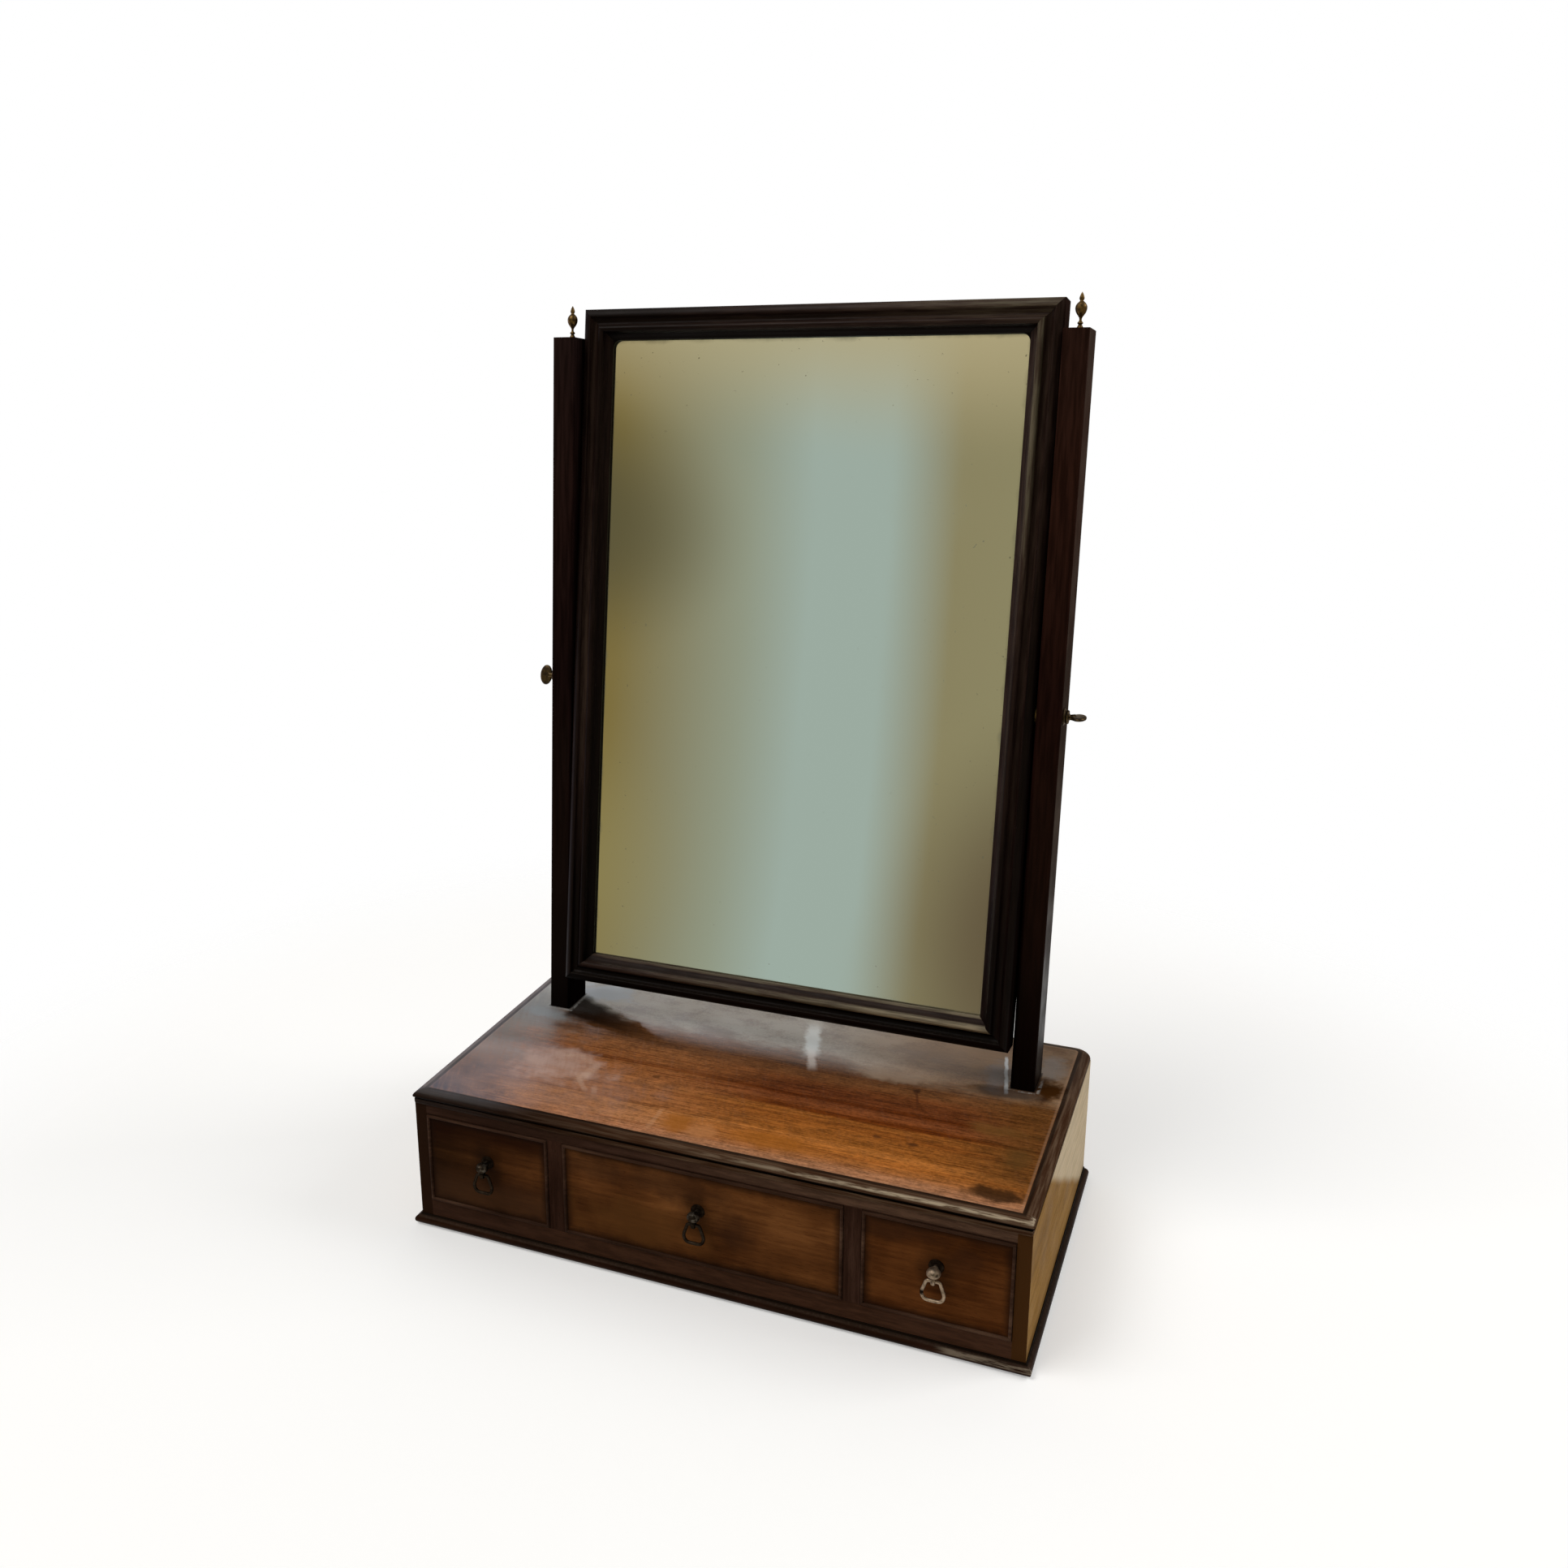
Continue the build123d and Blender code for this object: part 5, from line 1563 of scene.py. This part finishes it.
@dataclass(frozen=True)
class SwingFrame:
    """Mitred frame with a moulded face, and the plate of silvered glass in it."""

    half_width: float = FRAME_HALF
    above: float = FRAME_ABOVE
    below: float = FRAME_BELOW
    face: float = 22.75
    seat: float = 14.0
    lip: float = 17.0
    pivot_depth: float = 12.0
    corner_radius: float = 6.5
    tilt: float = FRAME_LEAN
    silver: tuple[float, float] = (11.0, 13.7)
    rebate: float = 6.5
    pin_depth: float = 16.5

    def section(self) -> np.ndarray:
        """Returns the section as rows of depth in from the outer edge and reach from the back."""
        outline = np.vstack([
            [(0, 0)], arc((0, 20.5), (2.53, 23.06), (6.0, 24.0), 9),
            arc((6.6, 22.4), (9.6, 20.4), (12.6, 22.6), 9), arc((12.6, 22.6), (15, 25), (17.4, 22.6), 13)[1:],
            arc((17.4, 21.8), (19.575, 18.7), (22.3, 17.1), 8),
            [(self.face, 16.7), (self.face, self.seat), (15.75, self.seat), (15.75, 5), (11.75, 5), (11.75, 0)]])
        return softened(outline, 0.5, keep=40.0)

    def member(self, length: float) -> Shell:
        """Returns a member along X, its outer edge at the bottom and its face to the front."""
        bar = mitred_bar(self.section(), length, stations=16, gap=0.04)
        return replace(bar, points=bar.points * (1, -1, 1) + (0, self.pivot_depth, 0))

    def spandrel(self, side: int) -> Shell:
        """Returns the small piece that rounds a top corner of the sight edge.

        Its outline is the corner and a quarter circle round (corner - radius), and it stands between
        the seat of the glass and the lip.
        """
        r, sunk = self.corner_radius, 0.4
        x, z = self.half_width - self.face + sunk, self.above - self.face + sunk
        angle = np.linspace(pi / 2, 0, 12)
        curve = np.stack([x - r + (r - sunk) * np.cos(angle), z - r + (r - sunk) * np.sin(angle)], -1)
        reaches = np.array([self.seat, self.lip - 0.5])
        return plate(np.vstack([[(x, z)], curve]) * (side, 1), self.pivot_depth - reaches)

    def glass(self) -> Shell:
        """Returns the silvered face as a thin plate, a little behind the seat."""
        x = self.half_width - self.face + self.rebate
        low, high = -self.below + self.face - self.rebate, self.above - self.face + self.rebate
        return plate(rounded_plan((-x, low), (x, high), (0.6,) * 4, 4), self.pivot_depth - np.array(self.silver))

    def backboard_pins(self) -> Shell:
        """Returns the pins along the edge of the backboard, on its back."""
        aside = self.half_width - self.pin_depth
        low, high = self.pin_depth - self.below, self.above - self.pin_depth
        places = [(side * aside, z) for side in (-1, 1) for z in np.linspace(low, high, 8)]
        places += [(x, z) for z in (low, high) for x in np.linspace(-aside, aside, 6)[1:-1]]
        heads = pins([(x, -z) for x, z in places], 1.2, 0.4)
        return heads.placed(move(0, self.pivot_depth, 0) @ turn_to("+y"))

    def build(self, finishes: Finishes) -> None:
        """Makes the four members, the glass and the pins, leaning back about the pivot."""
        lean = move(*PIVOT) @ turn(-self.tilt, "X")
        rail, stile = self.member(2 * self.half_width), self.member(self.above + self.below)
        top = rail.placed(move(0, 0, self.above) @ turn(180, "Y")) + self.spandrel(-1) + self.spandrel(1)
        pieces = {"top_rail": top, "bottom_rail": rail.placed(move(0, 0, -self.below))}
        middle = (self.above - self.below) / 2
        for name, side in SIDES.items():
            pieces[f"{name}_stile"] = stile.placed(move(side * self.half_width, 0, middle) @ turn(-90 * side, "Y"))
        for name, shell in pieces.items():
            make_piece(f"frame_{name}_moulded", shell.placed(lean), finishes.members[name], "mirror",
                       [f"frame_{name}"])
        make_piece("mirror_silvered_face", self.glass().placed(lean), finishes.glass, "mirror",
                   ["mirror_glass"], crease=20.0)
        make_piece("backboard_pins", self.backboard_pins().placed(lean), finishes.aged_brass, "mirror")


@dataclass(frozen=True)
class Drawer:
    """Cock beads, pull and bail of one drawer. Its boards keep their solids."""

    name: str
    middle: float
    width: float
    base: float = DRAWER_LOW
    height: float = DRAWER_HIGH - DRAWER_LOW
    front: float = -121.55
    pull_z: float = 65.5
    bead_width: float = 2.2
    bead_depth: float = 6.0
    bead_reach: float = 1.6
    rosette: float = 5.2
    head_distance: float = 8.2
    head: tuple[float, float, float] = (4.7, 4.7, 3.7)
    eye_drop: float = 6.0
    eye: float = 2.9
    eye_thickness: float = 2.8
    wire: float = 1.2
    shank: float = 2.0
    shank_end: float = 16.6
    thread_start: float = 9.4
    pin_inset: float = 12.0
    pin_row: float = -111.7
    pin_level: float = 25.0

    def bead(self) -> Shell:
        """Returns the four strips round the front, each with a half-round nose."""
        nose = self.bead_width / 2
        curve = arc((0, -self.bead_reach + nose), (nose, -self.bead_reach), (2 * nose, -self.bead_reach + nose), 11)
        section = np.vstack([[(0, self.bead_depth)], curve, [(2 * nose, self.bead_depth)]])
        strips = []
        for number, (length, other) in enumerate([(self.width, self.height), (self.height, self.width)] * 2):
            place = turn(90 * number, "Y") @ move(0, 0, -other / 2)
            strips.append(mitred_bar(section, length, stations=10).placed(place))
        return joined(strips).placed(move(self.middle, self.front, self.base + self.height / 2))

    def pull(self) -> Shell:
        """Returns rosette, neck, oval head, eye and threaded shank, in place on the front."""
        r = self.rosette
        turning = smoothed(np.array([(r, 0), (r, 0.5), (r - 0.5, 0.9), (r - 1.1, 0.95), (r - 1.5, 1.35),
                                     (2.6, 1.5), (2.1, 2.2), (1.75, 3.6), (1.9, 4.4), (2.6, 5.0), (3.0, 6.0)]), 2)
        post = np.vstack([[(0, -0.2), (r - 0.2, -0.2)], turning, [(0, 7.0)]])
        wind = np.arange(0, 6.5, 0.25)
        thread = np.column_stack([self.shank - 0.12 + 0.12 * np.cos(wind / 0.5 * pi),
                                  -self.thread_start - 0.2 - wind])
        shank = np.vstack([[(0, 0.5), (self.shank - 0.1, 0.5), (self.shank - 0.1, -self.thread_start)], thread,
                           [(self.shank - 0.5, -self.shank_end), (0, -self.shank_end)]])
        head = pillow(self.head, 2.05, 22, 40).placed(move(0, -self.head_distance, 0))
        angle = np.linspace(0, 2 * pi, 36, endpoint=False)
        hole = self.wire + 0.12
        mean, fat = (self.eye + hole) / 2, (self.eye - hole) / 2
        ring = np.stack([mean * np.cos(angle), mean * np.sin(angle), 0 * angle], -1)
        eye = tube(ring, fat, (0, 0, 1), 16)
        eye = replace(eye, points=eye.points * (1, 1, self.eye_thickness / 2 / fat))
        eye = eye.placed(move(0, -self.head_distance, -self.eye_drop) @ turn_to("+x"))
        stem = pillow((1.35, 1.9, 1.6), 3.0, 10, 24).placed(move(0, -self.head_distance, -self.eye_drop + 3.3))
        forwards = turn_to("-y")
        shells = [turned(post, 40).placed(forwards), turned(shank, 28).placed(forwards), head, eye, stem]
        return joined(shells).placed(move(self.middle, self.front, self.pull_z))

    def bail(self) -> Shell:
        """Returns the pear-shaped loop of wire, its pin through the eye."""
        line = np.array([(-4.4, 0), (-8.0, -10.4), (-5.4, -14.8), (5.4, -14.8), (8.0, -10.4), (4.4, 0)], float)
        rounds = np.array([1.5, 3.0, 2.6, 2.6, 3.0, 1.5])[:, None]
        before, after = np.roll(line, 1, axis=0) - line, np.roll(line, -1, axis=0) - line
        near, far = (line + side / np.linalg.norm(side, axis=1, keepdims=True) * rounds for side in (before, after))
        path = np.insert(bends(near, line, far, 9), 1, 0.0, axis=1)
        pin = (self.middle, self.front - self.head_distance, self.pull_z - self.eye_drop)
        return tube(path, self.wire, (0, 1, 0)).placed(move(*pin))

    def bottom_pins(self) -> Shell:
        """Returns the pins that hold the bottom up under the back board of the drawer."""
        half = self.width / 2 - self.pin_inset
        places = [(self.middle + x, self.pin_row) for x in np.linspace(-half, half, 3 if half < 60 else 5)]
        return pins(places, 1.2, 0.4).placed(move(0, 0, self.pin_level) @ turn_to("-z"))

    def build(self, finishes: Finishes) -> None:
        """Makes the pieces of the drawer and dresses its boards."""
        name, body, old = self.name, f"{self.name}_drawer", finishes.aged_brass
        make_piece(f"{name}_bottom_pins", self.bottom_pins(), old, body)
        make_piece(f"{name}_cock_bead_rounded", self.bead(), finishes.beads, body,
                   [f"{name}_cock_bead"])
        make_piece(f"{name}_pull_turned", self.pull(), old, body, [f"{name}_pull_post"])
        make_piece(f"{name}_bail_bent", self.bail(), old, f"{name}_bail", [f"{name}_bail"])
        dress(finishes.drawers, f"{body}_front")
        dress(finishes.oak_sides, f"{body}_left_side", f"{body}_right_side", f"{body}_bottom")
        dress(finishes.oak_backs, f"{body}_back")
        dress(old, f"{name}_pull_nut")


@dataclass(frozen=True)
class Case:
    """Boards of the case and the other pieces that keep their solids."""

    kept: tuple[tuple[str, tuple[str, ...]], ...] = (
        ("rails", ("front_top_rail", "front_bottom_rail")),
        ("uprights", ("left_partition", "right_partition")),
        ("sides", ("left_side", "right_side")),
        ("back_board", ("back_board",)),
        ("pine", ("bottom_board", "mirror_backboard")),
        ("blocks", ("glue_blocks", "drawer_stops", "glass_blocks")),
        ("posts", ("left_post", "right_post")),
        ("brass", ("left_pivot_plate", "right_pivot_plate")))

    def build(self, finishes: Finishes) -> None:
        """Dresses the boards, posts, blocks and plates."""
        for finish, nodes in self.kept:
            dress(getattr(finishes, finish), *nodes)


# Studio and camera

@dataclass(frozen=True)
class Studio:
    """Pale floor that fades into a white background, soft toned screens in front, and soft lamps."""

    floor_radius: float = 1.0
    fade: tuple[float, float] = (560.0, 900.0)
    paint: Colour = (0.82, 0.82, 0.82)
    glow: float = 0.32
    wall: Colour = (1.0, 1.0, 1.0)
    glare: float = 1.6
    ceiling: Colour = (0.30, 0.30, 0.29)
    fill: float = 0.62
    clouds: Spots = (
        ((-0.28, -0.92, 0.30), (0.5, 1.0, 0.12), 0.9, (0.66, 0.55, 0.36)),
        ((-0.45, -0.9, 0.13), (0.12, 1.0, 0.10), 0.75, (0.12, 0.11, 0.07)),
        ((-0.46, -0.9, -0.10), (0.12, 1.0, 0.12), 0.5, (0.46, 0.39, 0.19)),
        ((-0.14, -0.95, -0.12), (0.11, 1.0, 0.17), 0.7, (0.11, 0.06, 0.04)))
    lamps: tuple[tuple[str, Sequence[float], float, float, Colour], ...] = (
        ("key_lamp", (-2.0, -2.0, 5.2), 3.2, 150.0, (1.0, 0.98, 0.95)),
        ("side_lamp", (4.0, 1.4, 3.4), 2.6, 100.0, (1.0, 0.99, 0.97)))

    def floor(self) -> None:
        """Makes the floor, a disc that shows white, keeps the shadow and fades out at its rim."""
        turn = np.linspace(0, 2 * pi, 64, endpoint=False)
        rim = np.stack([np.cos(turn), np.sin(turn), 0 * turn], -1) * self.floor_radius
        mesh = bpy.data.meshes.new("floor")
        mesh.from_pydata(rim.tolist(), [], [list(range(len(rim)))])
        graph = Graph(bpy.data.materials.new("pale_floor"))
        matt = graph.node("ShaderNodeBsdfDiffuse", self.paint)
        light = graph.node("ShaderNodeEmission", (1.0, 1.0, 1.0), self.glow * self.seen(graph))
        shown = graph.node("ShaderNodeAddShader", matt.outputs[0], light.outputs[0])
        clear = graph.node("ShaderNodeBsdfTransparent")
        faded = graph.node("ShaderNodeMixShader", graph.length(graph.place).span(*self.fade), shown.outputs[0],
                           clear.outputs[0])
        graph.node("ShaderNodeOutputMaterial", faded.outputs[0])
        mesh.materials.append(graph.owner)
        made = bpy.data.objects.new("floor", mesh)
        bpy.context.scene.collection.objects.link(made)

    @staticmethod
    def seen(graph: Graph) -> Field:
        """Returns 1 for rays from the camera, a reflection or through glass, and 0 for others."""
        rays = graph.node("ShaderNodeLightPath").outputs
        camera, glossy, through = (Field(graph, rays[name]) for name in (
            "Is Camera Ray", "Is Glossy Ray", "Is Transmission Ray"))
        return camera | (glossy | through)

    def screens(self, graph: Graph, direction: Socket) -> Socket:
        """Returns the tones in front of the object: a pale band between olive ones, from left to right."""
        olive, pale, green = (0.305, 0.225, 0.082), (0.50, 0.60, 0.61), (0.38, 0.33, 0.20)
        tones = graph.ramp(graph.parts(direction)[0].span(-0.6, 0.0), [
            (0.22, olive), (0.40, (0.42, 0.45, 0.38)), (0.50, pale), (0.62, pale), (0.72, green),
            (0.95, (0.40, 0.36, 0.23))])
        for centre, radii, share, shade in self.clouds:
            away = graph.vector("SUBTRACT", direction, centre)
            distance = graph.length(graph.vector("MULTIPLY", away, tuple(1 / radius for radius in radii)))
            tones = graph.mix(share * distance.span(1.0, 0.2), tones, shade)
        return tones

    def surroundings(self) -> None:
        """Makes the world: white to the camera, toned screens in front and dimmer over head."""
        world = bpy.data.worlds.new("studio")
        bpy.context.scene.world = world
        graph = Graph(world)
        direction = graph.node("ShaderNodeTexCoord").outputs["Generated"]
        x, y, z = graph.parts(direction)
        rear = graph.ramp(x.span(-0.6, 0.0, course="LINEAR"),
                          [(0.10, (0.50, 0.47, 0.54)), (0.36, (0.70, 0.76, 0.84)), (0.55, (0.85, 0.86, 0.86)),
                           (0.68, (0.50, 0.42, 0.32)), (0.85, (0.16, 0.13, 0.10))])
        seen, screens, dim = self.seen(graph), self.screens(graph, direction), (1 / self.glare,) * 3
        white = graph.mix(seen, self.wall, rear)
        screens = graph.mix(seen, screens, graph.mix(1.0, screens, dim, "MULTIPLY"))
        ceiling = graph.mix(seen, self.ceiling, tuple(part / self.glare for part in self.ceiling))
        over = graph.mix(y.span(0.2, 0.5), z.span(0.36, 0.56), z.span(0.62, 0.8))
        colour = graph.mix(over, graph.mix(y.span(-0.25, -0.75), white, screens), ceiling)
        camera_ray = graph.node("ShaderNodeLightPath").outputs["Is Camera Ray"]
        back = graph.node("ShaderNodeBackground", graph.mix(camera_ray, colour, dim),
                          seen.span(0.0, 1.0, (self.fill, self.glare)))
        graph.node("ShaderNodeOutputWorld", back.outputs[0])

    def lamp(self, name: str, place: Vector, size: float, watts: float, colour: Colour) -> None:
        """Adds a square area lamp that looks at the middle of the object.

        Args:
            name: Name of the lamp.
            place: Its place, in metres.
            size: Side of the square, in metres.
            watts: Its power.
            colour: Colour of its light.
        """
        light = bpy.data.lights.new(name, "AREA")
        light.shape, light.size, light.energy, light.color = "SQUARE", size, watts, colour
        made = bpy.data.objects.new(name, light)
        bpy.context.scene.collection.objects.link(made)
        made.location = place
        made.rotation_euler = (Vector((0, 0, 0.25)) - place).to_track_quat("-Z", "Y").to_euler()

    def build(self) -> None:
        """Makes the floor, the surroundings and the lamps."""
        self.floor()
        self.surroundings()
        for name, place, size, watts, colour in self.lamps:
            self.lamp(name, Vector(place), size, watts, colour)


@dataclass(frozen=True)
class Viewpoint:
    """Camera of the photograph, for a square picture of 1932 by 1932."""

    place: tuple[float, float, float] = (0.34617, -0.96707, 0.65708)
    forward: tuple[float, float, float] = (-0.39415, 0.87657, -0.27618)
    right: tuple[float, float, float] = (0.91411, 0.40500, -0.01913)
    down: tuple[float, float, float] = (0.09508, -0.26000, -0.96092)
    focal_pixels: float = 1832.44
    centre: tuple[float, float] = (794.03, 936.49)
    picture: float = 1932.0
    sensor: float = 36.0

    def build(self) -> None:
        """Makes the camera and its shift, which puts the optical axis where the photograph has it."""
        data = bpy.data.cameras.new("camera")
        data.sensor_width = self.sensor
        data.lens = self.focal_pixels * self.sensor / self.picture
        data.shift_x = (self.picture / 2 - self.centre[0]) / self.picture
        data.shift_y = (self.centre[1] - self.picture / 2) / self.picture
        data.clip_start, data.clip_end = 0.05, 60.0
        camera = bpy.data.objects.new("camera", data)
        bpy.context.scene.collection.objects.link(camera)
        x, y, z = Vector(self.right), -Vector(self.down), -Vector(self.forward)
        turn = Matrix((x, y, z)).transposed().to_4x4()
        camera.matrix_world = Matrix.Translation(self.place) @ turn
        bpy.context.scene.camera = camera


def main() -> None:
    """Builds the sub-assemblies in order, then the studio and the camera."""
    logging.basicConfig(level=logging.INFO, format="%(message)s")
    bpy.context.scene.view_settings.view_transform = "Standard"
    finishes = Finishes.make()
    Case().build(finishes)
    TopBoard().build(finishes)
    Plinth().build(finishes)
    for drawer in DRAWERS:
        Drawer(*drawer).build(finishes)
    Finial().build(finishes)
    Pivots().build(finishes)
    SwingFrame().build(finishes)
    Studio().build()
    Viewpoint().build()


if __name__ == "__main__":
    main()
